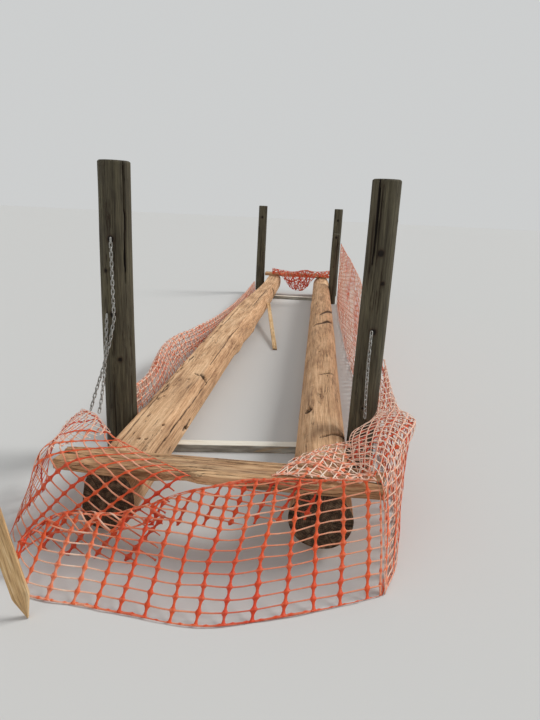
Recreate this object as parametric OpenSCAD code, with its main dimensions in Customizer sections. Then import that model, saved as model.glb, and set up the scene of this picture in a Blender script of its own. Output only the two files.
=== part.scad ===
// Log footbridge with its deck stripped: two stringer logs on two cross beams, round posts beside
// them, one deck board left at each end, cut handrail chains, stakes, and a slack barrier mesh.
// X runs across the bridge, Y along it away from the near end, Z up from the ground.
// The origin is under the middle of the near cross beam, on the centre line.

/* [Logs] */
// Length of both stringer logs
log_len = 7500; // [6000:50:9000]
// Height of the log tops above the ground
log_top = 315; // [290:1:340]
// How far the logs reach past the near cross beam, towards the near end
log_reach = 1020; // [800:10:1300]
// Sideways place of the left log, at its near end
left_log_x = -530; // [-545:1:-500]
// Sideways place of the left log, at its far end
left_log_far_x = -388; // [-420:1:-370]
// Width of the left log at its near end
left_log_w = 262; // [240:1:270]
// Width of the left log at its far end
left_log_far_w = 226; // [200:1:250]
// Width of the left log at its swollen middle
left_log_mid_w = 300; // [270:1:320]
// Height of the left log before its top was hewn flat
left_log_h = 305; // [285:1:325]
// Sideways place of the right log
right_log_x = 442; // [430:1:450]
// Diameter of the right log at its near end
right_log_d = 282; // [265:1:290]
// Diameter of the right log at its far end
right_log_far_d = 262; // [240:1:270]
// How uneven the logs are, as a share of their radius
log_wobble = 0.03; // [0:0.005:0.05]

/* [Cross beams] */
// Length of each cross beam
beam_len = 1240; // [1100:10:1400]
// Width of each cross beam
beam_w = 72; // [60:1:90]
// Height of each cross beam, from the ground
beam_h = 50; // [45:1:60]
// Distance of the far cross beam from the far end of the logs
far_beam_inset = 645; // [500:5:900]
// Skew of the near cross beam in plan, in degrees
near_beam_skew = 8; // [0:1:10]

/* [Posts] */
// Height of the near left post
near_left_h = 1690; // [1400:5:1900]
// Diameter of the near left post at the ground
near_left_d = 182; // [160:1:190]
// Height of the near right post
near_right_h = 1650; // [1400:5:1900]
// Diameter of the near right post at the ground
near_right_d = 156; // [140:1:165]
// Height of the two tall far posts
far_post_h = 1475; // [1200:5:1700]
// Diameter of the two tall far posts
far_post_d = 150; // [130:1:155]
// Height of the short right post
short_post_h = 1105; // [900:5:1300]
// Diameter of the short right post
short_post_d = 125; // [110:1:130]
// Share of a post's base diameter that is left at its top
post_taper = 0.94; // [0.88:0.01:1]
// Diameter of the chain holes in the posts
hole_d = 26; // [24:1:32]
// Height of the upper chain holes
upper_hole_z = 1290; // [1100:5:1350]
// Height of the lower chain holes
lower_hole_z = 880; // [700:5:950]
// Height of the hole in the short post
short_hole_z = 1050; // [900:5:1060]

/* [Deck boards] */
// Length of the near deck board
near_board_len = 1500; // [1400:5:1600]
// Length of the far deck board
far_board_len = 1110; // [1060:5:1200]
// Width of the deck boards
board_w = 195; // [150:1:220]
// Thickness of the deck boards
board_t = 50; // [35:1:60]

/* [Stakes] */
// Length of the stake at the near end
front_stake_len = 1200; // [900:10:1400]
// Width of the stake at the near end
front_stake_w = 60; // [45:1:70]
// Thickness of the stake at the near end
front_stake_t = 22; // [16:1:30]
// Length of the thin stake in the middle of the span
mid_stake_len = 1680; // [1500:10:1690]
// Width of the thin stake in the middle of the span
mid_stake_w = 45; // [35:1:50]

/* [Chain] */
// Thickness of the chain's wire
wire_d = 6; // [5:0.5:6.5]
// Distance from one chain link to the next
link_pitch = 25; // [24:0.5:28]
// Width of a chain link over its wire
link_w = 20; // [19:0.5:22]

/* [Barrier mesh] */
// Thickness of the folded barrier mesh
mesh_t = 10; // [8:1:14]

/* [Hidden] */
$fn = 48;

// Where each post stands
log_near_y = -log_reach;
log_far_y = log_len - log_reach;
near_left_at = [-756, -170];
near_right_at = [668, -220];
far_left_at = [-622, log_far_y - 150];
far_right_at = [652, log_far_y - 30];
short_at = [620, log_far_y - 850];
far_beam_y = log_far_y - far_beam_inset;
near_board_y = log_near_y + 75;
far_board_y = log_far_y - 100;

// Colours, as weathered
bark_tan = [0.62, 0.47, 0.34];
post_olive = [0.36, 0.34, 0.26];
pine_pale = [0.80, 0.70, 0.52];
beam_cream = [0.84, 0.78, 0.66];
steel_grey = [0.55, 0.55, 0.53];
mesh_orange = [0.90, 0.30, 0.16];

// Smooth helpers: a soft hump, a wrapped angle and a curve through points
function hump(a, centre, width) = exp(-pow((a - centre) / width, 2));
function wrapped(a) = a - 360 * floor((a + 180) / 360);
function held(list, i) = list[max(0, min(len(list) - 1, i))];
function curve_at(list, t) =
    let (i = min(floor(t), len(list) - 2), f = t - i)
    let (a = held(list, i - 1), b = held(list, i), c = held(list, i + 1), d = held(list, i + 2))
    0.5 * (2 * b + (c - a) * f + (2 * a - 5 * b + 4 * c - d) * f * f + (3 * (b - c) + d - a) * f * f * f);
function mix(a, b, share) = a + (b - a) * share;

// A closed tube of triangles from rings of points
function ring_sides(rings, count) = [
    for (r = [0:rings - 2])
        for (k = [0:count - 1])
            let (a = r * count + k, b = r * count + (k + 1) % count)
            for (tri = [[a, b, b + count], [a, b + count, a + count]]) tri
];
function ring_caps(rings, count) = [
    [for (k = [count - 1:-1:0]) k],
    [for (k = [0:count - 1]) (rings - 1) * count + k]
];

// Log: a trunk whose radius wanders, with knots and worn corners, and a top no higher than log_top
log_rings = 30;
log_sides = 24;
function log_radius(s, a, seed, knots) =
    1 + log_wobble * (0.5 * sin(2 * a + s / 21 + seed) + 0.35 * sin(3 * a - s / 27 + 2 * seed)
    + 0.25 * sin(5 * a + s / 13 + 3 * seed))
    + (len(knots) == 0 ? 0 : [for (k = knots) k[2] * hump(s, k[0], k[3]) * hump(wrapped(a - k[1]), 0, k[4])]
    * [for (k = knots) 1]);
function squared(v, power) = sign(v) * pow(abs(v), power);

module trunk(spine, tall, power, seed, knots) {
    points = [
        for (r = [0:log_rings - 1])
            let (s = log_len * r / (log_rings - 1))
            let (place = curve_at(spine, (len(spine) - 1) * r / (log_rings - 1)))
            let (half_w = place[1] / 2, half_h = tall / 2)
            for (k = [0:log_sides - 1])
                let (a = 360 * k / log_sides, m = log_radius(s, a, seed, knots))
                let (x = place[0] + half_w * m * squared(cos(a), power))
                let (z = log_bottom + half_h * (1 + m * squared(sin(a), power)))
                [x, log_near_y + s, min(z, log_top)]
    ];
    polyhedron(points, concat(ring_sides(log_rings, log_sides), ring_caps(log_rings, log_sides)));
}

// Each log sits this far down over its cross beams
log_seat = 10;
log_bottom = beam_h - log_seat;

module cross_beam_at(y, skew) {
    translate([0, y, 0])
        rotate([0, 0, skew])
            translate([-beam_len / 2, -beam_w / 2, 0])
                cube([beam_len, beam_w, beam_h]);
}

module left_log() {
    knots = [
        [3700, -22, 0.13, 240, 28],
        [0, 165, -0.22, 110, 48],
        [760, 180, -0.06, 90, 26],
        [5900, -10, 0.07, 160, 24],
        [2300, 30, 0.04, 260, 30]
    ];
    lean = (left_log_far_x - left_log_x) / 7;
    spine = [
        [left_log_x, left_log_w], [left_log_x + 0.75 * lean, left_log_w + 4],
        [left_log_x + 1.5 * lean, mix(left_log_w, left_log_mid_w, 0.5)],
        [left_log_x + 3.7 * lean, left_log_mid_w], [left_log_x + 6.4 * lean, left_log_far_w],
        [left_log_far_x, left_log_far_w]
    ];
    color(bark_tan)
        difference() {
            trunk(spine, left_log_h, 0.82, 40, knots);
            cross_beam_at(0, near_beam_skew);
            cross_beam_at(far_beam_y, 0);
        }
}

module right_log() {
    knots = [
        [1400, 100, -0.05, 120, 16],
        [3300, 30, 0.04, 300, 30],
        [5200, 160, 0.05, 260, 30]
    ];
    color(bark_tan)
        difference() {
            trunk([[right_log_x, right_log_d], [right_log_x, right_log_d], [right_log_x, right_log_far_d]],
                log_top - log_bottom + 6, 1, 130, knots);
            cross_beam_at(0, near_beam_skew);
            cross_beam_at(far_beam_y, 0);
        }
}

module near_cross_beam() {
    color(beam_cream)
        cross_beam_at(0, near_beam_skew);
}

module far_cross_beam() {
    color(beam_cream)
        cross_beam_at(far_beam_y, 0);
}

// Round post: tapered, with a bevelled head, chain holes along the bridge and one long drying check
head_bevel = 8;
check_w = 12;
check_deep = 26;
module post(at, tall, base_d, holes, check_turn, check_len) {
    top_d = base_d * post_taper;
    color(post_olive)
        translate([at[0], at[1], 0])
            difference() {
                union() {
                    cylinder(h = tall - head_bevel, d1 = base_d, d2 = top_d);
                    translate([0, 0, tall - head_bevel])
                        cylinder(h = head_bevel, d1 = top_d, d2 = top_d - 2 * head_bevel);
                }
                for (z = holes)
                    translate([0, 0, z])
                        rotate([90, 0, 0])
                            cylinder(h = 2 * base_d, d = hole_d, center = true);
                rotate([0, 0, check_turn])
                    translate([top_d / 2 - check_deep, 0, tall - check_len])
                        linear_extrude(check_len + 1)
                            polygon([[0, 0], [base_d, -check_w * base_d / check_deep / 2],
                                [base_d, check_w * base_d / check_deep / 2]]);
            }
}

module near_left_post() {
    post(near_left_at, near_left_h, near_left_d, [upper_hole_z, lower_hole_z], -38, 640);
}

module near_right_post() {
    post(near_right_at, near_right_h, near_right_d, [upper_hole_z, lower_hole_z], -122, 420);
}

module far_left_post() {
    post(far_left_at, far_post_h, far_post_d, [upper_hole_z], -40, 300);
}

module far_right_post() {
    post(far_right_at, far_post_h, far_post_d, [upper_hole_z], -140, 260);
}

module short_right_post() {
    post(short_at, short_post_h, short_post_d, [short_hole_z], -50, 180);
}

// Deck boards: sawn planks lying on the log tops, with broken ends and a torn front edge
near_board_x = -30;
module near_deck_board() {
    half = near_board_len / 2;
    deep = board_w / 2;
    outline = [
        [-half, -deep + 40], [-half + 90, -deep + 30], [-half + 250, -deep + 12], [-half + 480, -deep + 3],
        [-half + 555, -deep + 22], [-half + 620, -deep + 30], [-half + 670, -deep + 12], [-half + 750, -deep + 4],
        [half - 240, -deep], [half - 90, -deep + 6], [half, -deep + 3], [half - 12, -deep + 60],
        [half - 95, -deep + 72], [half - 8, -deep + 84], [half, deep - 12], [half - 130, deep],
        [-half + 570, deep - 4], [-half + 80, deep], [-half + 6, deep - 10], [-half + 14, 16],
        [-half + 120, 6], [-half + 10, -4]
    ];
    color(bark_tan)
        translate([near_board_x, near_board_y, log_top])
            linear_extrude(board_t)
                polygon(outline);
}

far_board_x = 10;
module far_deck_board() {
    half = far_board_len / 2;
    deep = board_w / 2;
    outline = [
        [-half, -deep], [half - 60, -deep], [half, -deep + 9], [half - 6, -deep + 70],
        [half - 70, -deep + 78], [half - 4, -deep + 88], [half, deep], [-half, deep]
    ];
    color(bark_tan)
        translate([far_board_x, far_board_y, log_top])
            linear_extrude(board_t)
                polygon(outline);
}

// Stakes: sawn pine battens, the near one driven with a pointed foot
front_stake_at = [-628, log_near_y - 512, 0];
module front_stake() {
    point_len = 90;
    w = front_stake_w;
    color(pine_pale)
        translate(front_stake_at)
            rotate([0, -13, 0])
                rotate([0, 0, 18])
                    rotate([90, 0, 0])
                        linear_extrude(front_stake_t)
                            polygon([[0, 0], [w / 2, point_len], [w / 2, front_stake_len],
                                [-w / 2, front_stake_len], [-w / 2, point_len]]);
}

// The thin stake leans on the left log: its top stays on the log's side, and its foot on the ground
mid_stake_t = 20;
mid_stake_top = [-272, 4140, 200];
mid_stake_turn = 8;
module mid_stake() {
    rise = asin(mid_stake_top[2] / mid_stake_len);
    color(pine_pale)
        translate(mid_stake_top)
            rotate([0, 0, mid_stake_turn])
                rotate([rise, 0, 0])
                    translate([-mid_stake_w / 2, -mid_stake_len, 0])
                        cube([mid_stake_w, mid_stake_len, mid_stake_t]);
}

// Chain link: a wire bent to a long loop, as rings of the wire's section
link_steps = 8;
wire_sides = 5;
link_play = 1.6;
module link() {
    straight = link_pitch + 2 * wire_d + link_play - link_w;
    bend = (link_w - wire_d) / 2;
    points = [
        for (i = [0:link_steps - 1])
            let (a = 360 * (i + 0.5) / link_steps, up = a < 180 ? 1 : -1)
            for (k = [0:wire_sides - 1])
                let (b = 360 * k / wire_sides, r = bend + wire_d / 2 * cos(b))
                [r * cos(a), wire_d / 2 * sin(b), r * sin(a) + up * straight / 2]
    ];
    loop = link_steps * wire_sides;
    polyhedron(points, [
        for (i = [0:link_steps - 1])
            for (k = [0:wire_sides - 1])
                let (a = i * wire_sides + k, b = i * wire_sides + (k + 1) % wire_sides)
                for (tri = [[a, b, (b + wire_sides) % loop], [a, (b + wire_sides) % loop, (a + wire_sides) % loop]])
                    tri
    ]);
}

// A run of interlocked links along a route of points, each link a quarter turn from the last
function route_len(route, upto) = upto == 0 ? 0 : route_len(route, upto - 1) + norm(route[upto] - route[upto - 1]);
function route_leg(route, s, i = 1) = i >= len(route) - 1 || route_len(route, i) >= s ? i : route_leg(route, s, i + 1);
module chain(route) {
    links = floor(route_len(route, len(route) - 1) / link_pitch);
    color(steel_grey)
        for (n = [0:links - 1])
            let (s = (n + 0.5) * link_pitch, leg = route_leg(route, s))
            let (a = route[leg - 1], b = route[leg], way = (b - a) / norm(b - a))
            translate(a + way * (s - route_len(route, leg - 1)))
                rotate([0, acos(way[2]), atan2(way[1], way[0])])
                    rotate([0, 0, n % 2 * 90 + 45])
                        link();
}

// Chain routes: out of a post's hole, down its face, then away to the mesh
post_face = 16;
left_face_y = near_left_at[1] - near_left_d / 2 - post_face;
right_face_y = near_right_at[1] - near_right_d / 2 - post_face;
left_x = near_left_at[0];
right_x = near_right_at[0];
left_chain_route = [
    [left_x + 8, left_face_y, upper_hole_z + 6], [left_x + 12, left_face_y, lower_hole_z - 20],
    [left_x - 8, left_face_y - 14, 740], [left_x - 46, left_face_y - 34, 590],
    [left_x - 88, left_face_y - 58, 445], [left_x - 115, left_face_y - 82, 335]
];
left_tail_route = [
    [left_x - 26, left_face_y - 6, lower_hole_z + 4], [left_x - 30, left_face_y - 22, 720],
    [left_x - 34, left_face_y - 52, 560], [left_x - 42, left_face_y - 92, 420],
    [left_x - 50, left_face_y - 126, 325]
];
right_chain_route = [
    [right_x - 10, right_face_y, lower_hole_z + 6], [right_x - 12, right_face_y - 6, 700],
    [right_x - 10, right_face_y - 16, 560], [right_x - 4, right_face_y - 30, 400]
];

module left_chain() {
    chain(left_chain_route);
}

module left_chain_tail() {
    chain(left_tail_route);
}

module right_chain() {
    chain(right_chain_route);
}

// Barrier mesh: each stretch is one thin curved sheet through rails, listed from its foot upwards
module mesh_sheet(rails, columns, rows) {
    wide = len(rails[0]) - 1;
    high = len(rails) - 1;
    function spot(i, j) = curve_at([for (rail = rails) curve_at(rail, wide * i / columns)], high * j / rows);
    function way_out(i, j) =
        let (along = spot(min(i + 1, columns), j) - spot(max(i - 1, 0), j))
        let (up = spot(i, min(j + 1, rows)) - spot(i, max(j - 1, 0)))
        cross(along, up) / norm(cross(along, up));
    count = rows + 1;
    layer = (columns + 1) * count;
    points = [
        for (side = [-0.5, 0.5])
            for (i = [0:columns])
                for (j = [0:rows]) spot(i, j) + side * mesh_t * way_out(i, j)
    ];
    faces = [
        for (i = [0:columns - 1])
            for (j = [0:rows - 1])
                let (a = i * count + j, b = a + count, c = b + 1, d = a + 1)
                for (tri = [[a, b, c], [a, c, d], [layer + a, layer + c, layer + b], [layer + a, layer + d, layer + c]])
                    tri
    ];
    rim = concat(
        [for (i = [0:columns]) i * count], [for (j = [1:rows]) columns * count + j],
        [for (i = [columns - 1:-1:0]) i * count + rows], [for (j = [rows - 1:-1:1]) j]
    );
    edge = [
        for (k = [0:len(rim) - 1])
            let (a = rim[k], b = rim[(k + 1) % len(rim)])
            for (tri = [[a, layer + b, b], [a, layer + a, layer + b]]) tri
    ];
    color(mesh_orange)
        polyhedron(points, concat(faces, edge));
}

// The mesh's foot stands on the ground
foot = mesh_t / 2;

// Places along the sides, as shares of the way between the near and the far posts
side_near = near_left_at[1] + 210;
side_far = far_left_at[1] - 180;
function side(share) = mix(side_near, side_far, share);
// Places in front of the log ends, and heights over the log tops
function ahead(d) = log_near_y - d;
function over(d) = log_top + d;

module net_left_corner() {
    mesh_sheet([
        [[-1000, ahead(-350), foot], [-985, ahead(-75), foot], [-925, ahead(100), foot],
            [-600, ahead(165), foot], [-250, ahead(160), foot]],
        [[-985, ahead(-410), 190], [-950, ahead(-200), 190], [-872, ahead(30), 190],
            [-570, ahead(110), 190], [-230, ahead(100), 190]],
        [[-930, ahead(-500), over(15)], [-868, ahead(-280), over(45)], [-812, ahead(-35), over(64)],
            [-470, ahead(56), over(64)], [-170, ahead(60), over(40)]],
        [[-880, ahead(-590), over(55)], [-745, ahead(-440), over(95)], [-590, ahead(-250), over(84)],
            [-350, ahead(-85), over(74)], [-130, ahead(36), over(52)]]
    ], 12, 8);
}

module net_front() {
    mesh_sheet([
        [[-800, ahead(310), foot], [-700, ahead(420), foot], [-450, ahead(448), foot], [-240, ahead(470), foot],
            [-30, ahead(490), foot], [140, ahead(460), foot], [430, ahead(350), foot], [700, ahead(220), foot]],
        [[-798, ahead(306), 50], [-695, ahead(320), 75], [-448, ahead(330), 90], [-230, ahead(340), 110],
            [-10, ahead(320), 150], [160, ahead(290), 170], [430, ahead(200), 190], [692, ahead(130), 200]],
        [[-790, ahead(302), 100], [-690, ahead(230), 150], [-445, ahead(220), 165], [-215, ahead(215), 215],
            [10, ahead(170), 265], [185, ahead(145), 300], [430, ahead(90), 330], [680, ahead(65), 350]],
        [[-780, ahead(298), 150], [-680, ahead(165), 205], [-440, ahead(150), 225], [-205, ahead(112), 300],
            [30, ahead(66), over(55)], [205, ahead(44), over(80)], [430, ahead(30), over(85)],
            [662, ahead(30), over(100)]]
    ], 18, 7);
}

module net_right_corner() {
    mesh_sheet([
        [[712, ahead(218), foot], [790, ahead(-10), foot], [838, ahead(-360), foot],
            [848, near_right_at[1] - 100, foot], [832, side_near + 50, foot]],
        [[703, ahead(128), 200], [792, ahead(-90), 240], [846, ahead(-420), 250],
            [852, near_right_at[1] - 70, 220], [814, side_near + 50, 300]],
        [[691, ahead(60), over(40)], [775, ahead(-120), over(115)], [870, ahead(-450), over(125)],
            [848, near_right_at[1] - 55, over(75)], [798, side_near + 50, over(185)]],
        [[674, ahead(26), over(105)], [762, ahead(-170), over(180)], [876, ahead(-460), over(215)],
            [835, near_right_at[1] - 40, over(160)], [790, side_near + 50, over(285)]],
        [[660, ahead(-90), over(78)], [652, ahead(-250), over(85)], [648, ahead(-460), over(82)],
            [740, near_right_at[1] - 150, over(110)], [792, side_near - 10, over(275)]]
    ], 12, 10);
}

module net_board_fold() {
    mesh_sheet([
        [[215, ahead(24), over(72)], [350, ahead(20), over(80)], [500, ahead(20), over(72)],
            [640, ahead(16), over(86)]],
        [[260, ahead(-70), over(70)], [380, ahead(-90), over(96)], [510, ahead(-90), over(74)],
            [638, ahead(-95), over(92)]],
        [[300, ahead(-150), over(66)], [400, ahead(-240), over(66)], [510, ahead(-320), over(60)],
            [632, ahead(-300), over(80)]],
        [[330, ahead(-180), over(60)], [420, ahead(-350), over(42)], [500, ahead(-410), over(44)],
            [626, ahead(-440), over(78)]]
    ], 9, 7);
}

module net_left_side() {
    mesh_sheet([
        [[-880, side(0), foot], [-930, side(0.09), foot], [-1035, side(0.23), foot], [-940, side(0.33), foot],
            [-850, side(0.44), foot], [-820, side(0.63), foot], [-790, side(0.81), foot], [-760, side(1), foot]],
        [[-840, side(0), 180], [-880, side(0.09), 170], [-1000, side(0.23), 175], [-890, side(0.33), 170],
            [-800, side(0.44), 155], [-778, side(0.63), 125], [-750, side(0.81), 122], [-735, side(1), 130]],
        [[-782, side(0), 345], [-805, side(0.09), 305], [-915, side(0.23), 308], [-815, side(0.33), 300],
            [-728, side(0.44), 280], [-708, side(0.63), 228], [-690, side(0.81), 222], [-700, side(1), 230]],
        [[-748, side(0), 180], [-760, side(0.09), 160], [-840, side(0.23), 165], [-765, side(0.33), 160],
            [-690, side(0.44), 145], [-672, side(0.63), 120], [-650, side(0.81), 118], [-685, side(1), 130]],
        [[-735, side(0), foot], [-730, side(0.09), foot], [-780, side(0.23), foot], [-735, side(0.33), foot],
            [-684, side(0.44), foot], [-662, side(0.63), foot], [-640, side(0.81), foot], [-680, side(1), foot]]
    ], 18, 8);
}

module net_right_side() {
    mesh_sheet([
        [[832, side(0.015), foot], [792, side(0.16), foot], [748, side(0.3), foot], [716, side(0.48), foot],
            [702, side(0.71), foot], [712, short_at[1] - 30, foot]],
        [[806, side(0.015), 320], [780, side(0.16), 370], [758, side(0.3), 430], [728, side(0.48), 460],
            [708, side(0.71), 470], [704, short_at[1] - 30, 480]],
        [[780, side(0.015), 640], [770, side(0.16), 745], [757, side(0.3), 850], [736, side(0.48), 910],
            [718, side(0.71), 930], [696, short_at[1] - 30, 965]]
    ], 14, 6);
}

module net_far_end() {
    front = log_far_y - 300;
    mesh_sheet([
        [[-405, front, over(15)], [-240, front - 30, over(15)], [-60, front - 50, 130],
            [160, front - 50, 120], [330, front - 20, over(15)], [590, front, over(15)]],
        [[-408, front + 20, over(65)], [-240, front + 10, over(60)], [-60, front, over(-15)],
            [160, front - 10, over(-15)], [330, front + 10, over(55)], [590, front + 20, over(65)]],
        [[-410, front + 80, over(125)], [-240, front + 75, over(95)], [-60, front + 70, over(85)],
            [160, front + 70, over(125)], [330, front + 80, over(95)], [590, front + 80, over(135)]]
    ], 14, 4);
}

left_log();
right_log();
near_cross_beam();
far_cross_beam();
near_left_post();
near_right_post();
far_left_post();
far_right_post();
short_right_post();
near_deck_board();
far_deck_board();
front_stake();
mid_stake();
left_chain();
left_chain_tail();
right_chain();
net_left_corner();
net_front();
net_right_corner();
net_board_fold();
net_left_side();
net_right_side();
net_far_end();
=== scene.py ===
import math

import bpy
import numpy as np
from mathutils import Matrix, Vector, noise


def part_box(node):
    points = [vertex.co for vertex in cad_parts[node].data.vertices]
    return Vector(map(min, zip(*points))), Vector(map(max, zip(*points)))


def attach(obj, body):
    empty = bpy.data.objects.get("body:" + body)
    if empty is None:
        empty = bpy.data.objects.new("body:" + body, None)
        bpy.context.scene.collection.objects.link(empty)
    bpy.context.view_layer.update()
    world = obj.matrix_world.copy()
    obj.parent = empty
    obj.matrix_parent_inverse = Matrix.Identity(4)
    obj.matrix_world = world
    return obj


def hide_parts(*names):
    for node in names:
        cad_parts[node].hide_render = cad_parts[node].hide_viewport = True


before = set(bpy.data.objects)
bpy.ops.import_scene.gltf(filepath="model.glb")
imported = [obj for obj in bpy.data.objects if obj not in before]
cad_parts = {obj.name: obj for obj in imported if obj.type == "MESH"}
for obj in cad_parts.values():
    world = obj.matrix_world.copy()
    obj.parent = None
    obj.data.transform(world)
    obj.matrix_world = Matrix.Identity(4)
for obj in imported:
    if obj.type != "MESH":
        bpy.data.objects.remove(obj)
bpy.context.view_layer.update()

# Cross beams: two pale sawn joists on the ground, one under each end of the logs, which lie across them.
# The near one has been knocked askew. Their sides and undersides are painted darker than their tops, as
# painted shade, in streaks.
BEAM_LENGTH = 1.24
BEAM_WIDTH = 0.072
BEAM_HEIGHT = 0.05
BEAM_ARRIS = 0.005
NEAR_BEAM_SKEW = math.radians(8)
BEAM_CREAM = ((0.80, 0.75, 0.62), (0.91, 0.885, 0.77), (0.95, 0.93, 0.84))
BEAM_END = ((0.20, 0.15, 0.10), (0.42, 0.34, 0.24), (0.60, 0.51, 0.38))
BEAM_SIDE_SHADE = (0.160, 0.145, 0.118)
BEAM_OCHRE = (0.62, 0.36, 0.13)
CRACK_BROWN = (0.045, 0.026, 0.014)


def add_node(finish, kind, wires, out=0, **settings):
    """Adds a shader node to a finish, fills or wires its sockets, and returns what it gives."""
    made = finish.node_tree.nodes.new("ShaderNode" + kind)
    for setting, value in settings.items():
        setattr(made, setting, value)
    for socket, value in wires.items():
        if isinstance(value, bpy.types.NodeSocket):
            finish.node_tree.links.new(value, made.inputs[socket])
        else:
            made.inputs[socket].default_value = value
    return made.outputs[out]


def shader_of(finish):
    """The shader that everything in a finish runs into."""
    return finish.node_tree.nodes["Principled BSDF"]


def put(finish, value, socket):
    """Wires a value into a finish's shader."""
    finish.node_tree.links.new(value, shader_of(finish).inputs[socket])


def new_finish(name, levels):
    """A new finish, with these levels set on its shader."""
    finish = bpy.data.materials.new(name)
    finish.use_nodes = True
    for socket, level in levels.items():
        shader_of(finish).inputs[socket].default_value = level
    return finish


def tint_by(finish, value, places, tones):
    """Turns a value into tones, each at its place from 0 to 1."""
    tinted = add_node(finish, "ValToRGB", {0: value})
    stops = tinted.node.color_ramp.elements
    for stop, end in zip(stops, (0, -1)):
        stop.position = places[end]
        stop.color = (*tones[end], 1)
    for place, tone in zip(places[1:-1], tones[1:-1]):
        stops.new(place).color = (*tone, 1)
    return tinted


def mark_of(finish, name, out="Fac"):
    """A mark that a piece's mesh carries, for its finish to read."""
    return add_node(finish, "Attribute", {}, out, attribute_name=name)


def stretched(finish, across, along, detail=4, shift=0.0):
    """Random streaks in the wood, this wide across the grain and this long along it, in metres."""
    scaled = add_node(finish, "Mapping", {
        "Vector": mark_of(finish, "grain", "Vector"), "Location": (shift, shift, shift),
        "Scale": (1 / across, 1 / along, 1 / across)})
    return add_node(finish, "TexNoise", {"Vector": scaled, "Scale": 1.0, "Detail": detail, "Roughness": 0.6})


def calc(finish, operation, *values):
    """One sum on values or sockets."""
    return add_node(finish, "Math", dict(enumerate(values)), operation=operation)


def fade(finish, value, start, end, low=0.0, high=1.0):
    """Turns a value from start to end into one from low to high, and holds it there beyond."""
    return add_node(finish, "MapRange", {0: value, 1: start, 2: end, 3: low, 4: high})


def hairlines(finish, value, near, far):
    """Thin lines where a random value passes its middle."""
    off_line = calc(finish, "ABSOLUTE", calc(finish, "SUBTRACT", value, 0.5))
    return fade(finish, off_line, near, far, 1.0, 0.0)


def stain(finish, share, colour):
    """Lays a colour over what the finish has so far, as strongly as share says."""
    under = shader_of(finish).inputs["Base Color"].links[0].from_socket
    over = colour if isinstance(colour, bpy.types.NodeSocket) else (*colour, 1)
    mixed = add_node(finish, "Mix", {0: share, 6: under, 7: over}, 2, data_type="RGBA")
    put(finish, mixed, "Base Color")


def stain_where(finish, value, start, end, most, colour):
    """Stains from where a value passes start, up to most at end."""
    stain(finish, fade(finish, value, start, end, 0.0, most), colour)


def blotch(finish, colour, across, along, detail, shift, start, end, most):
    """Stains random blotches of this size, from where their noise passes start up to most at end."""
    stain_where(finish, stretched(finish, across, along, detail, shift), start, end, most, colour)


def relief(finish, height, depth):
    """Raises the surface by up to depth metres where height is 1."""
    wires = {"Height": height, "Distance": depth}
    if shader_of(finish).inputs["Normal"].links:
        wires["Normal"] = shader_of(finish).inputs["Normal"].links[0].from_socket
    put(finish, add_node(finish, "Bump", wires), "Normal")


def wood_finish(name, tones, fibre, band, check_gap=0.03, checked=0.5, roughness=0.82):
    """Weathered wood: dark, middle and pale tones in streaks, fine fibres, and drying checks."""
    finish = new_finish(name, {"Specular IOR Level": 0.25})
    fibres = stretched(finish, fibre, fibre * 45, 5)
    bands = stretched(finish, band, band * 28, 4, 3.7)
    patches = stretched(finish, 0.11, 0.4, 4, 8.1)
    streaks = calc(finish, "MULTIPLY_ADD", fibres, 0.34, calc(finish, "MULTIPLY", bands, 0.36))
    weather = calc(finish, "MULTIPLY_ADD", patches, 0.30, streaks)
    put(finish, tint_by(finish, weather, (0.40, 0.50, 0.59), tones), "Base Color")
    line = hairlines(finish, stretched(finish, check_gap, check_gap * 24, 3, 5.3), 0.004, 0.016)
    opened = fade(finish, stretched(finish, 0.07, 0.5, 2, 1.9), 0.62 - 0.2 * checked, 0.66 - 0.2 * checked)
    check = calc(finish, "MULTIPLY", line, opened)
    stain(finish, calc(finish, "MULTIPLY", check, 0.8), CRACK_BROWN)
    # Marked hollows are stained by how deep they are: painted shade with some dirt in cracks, pits and holes,
    # and the real dark of knots and rot.
    stain_where(finish, mark_of(finish, "hollow"), 0.1, 0.8, 0.94, CRACK_BROWN)
    relief(finish, fibres, 0.0022)
    relief(finish, bands, 0.004)
    relief(finish, calc(finish, "SUBTRACT", 1.0, check), 0.004)
    put(finish, fade(finish, patches, 0.35, 0.65, roughness - 0.07, roughness + 0.07), "Roughness")
    return finish


def end_grain_finish(name, tones, ring):
    """A sawn end: growth rings this far apart round the heart, and cracks that run out from it."""
    finish = new_finish(name, {"Roughness": 0.9, "Specular IOR Level": 0.2})
    grain = mark_of(finish, "grain", "Vector")
    flat = add_node(finish, "VectorMath", {0: grain, 1: (1.0, 0.0, 1.0)}, operation="MULTIPLY")
    off_heart = add_node(finish, "VectorMath", {0: flat}, "Value", operation="LENGTH")
    wobble = add_node(finish, "TexNoise", {"Vector": flat, "Scale": 14.0, "Detail": 3.0})
    radius = calc(finish, "MULTIPLY_ADD", wobble, 0.03, off_heart)
    rings = calc(finish, "SINE", calc(finish, "MULTIPLY", radius, 2 * math.pi / ring))
    grit = add_node(finish, "TexNoise", {"Vector": flat, "Scale": 34.0, "Detail": 5.0})
    mixed = calc(finish, "MULTIPLY_ADD", rings, 0.05, grit)
    put(finish, tint_by(finish, mixed, (0.35, 0.52, 0.66), tones), "Base Color")
    outward = add_node(finish, "VectorMath", {0: flat}, operation="NORMALIZE")
    spokes = add_node(finish, "TexNoise", {"Vector": outward, "Scale": 3.2, "Detail": 3.0})
    crack = hairlines(finish, spokes, 0.003, 0.012)
    stain(finish, calc(finish, "MULTIPLY", crack, 0.85), CRACK_BROWN)
    relief(finish, rings, 0.0006)
    relief(finish, grit, 0.002)
    relief(finish, calc(finish, "SUBTRACT", 1.0, crack), 0.006)
    return finish


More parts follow.
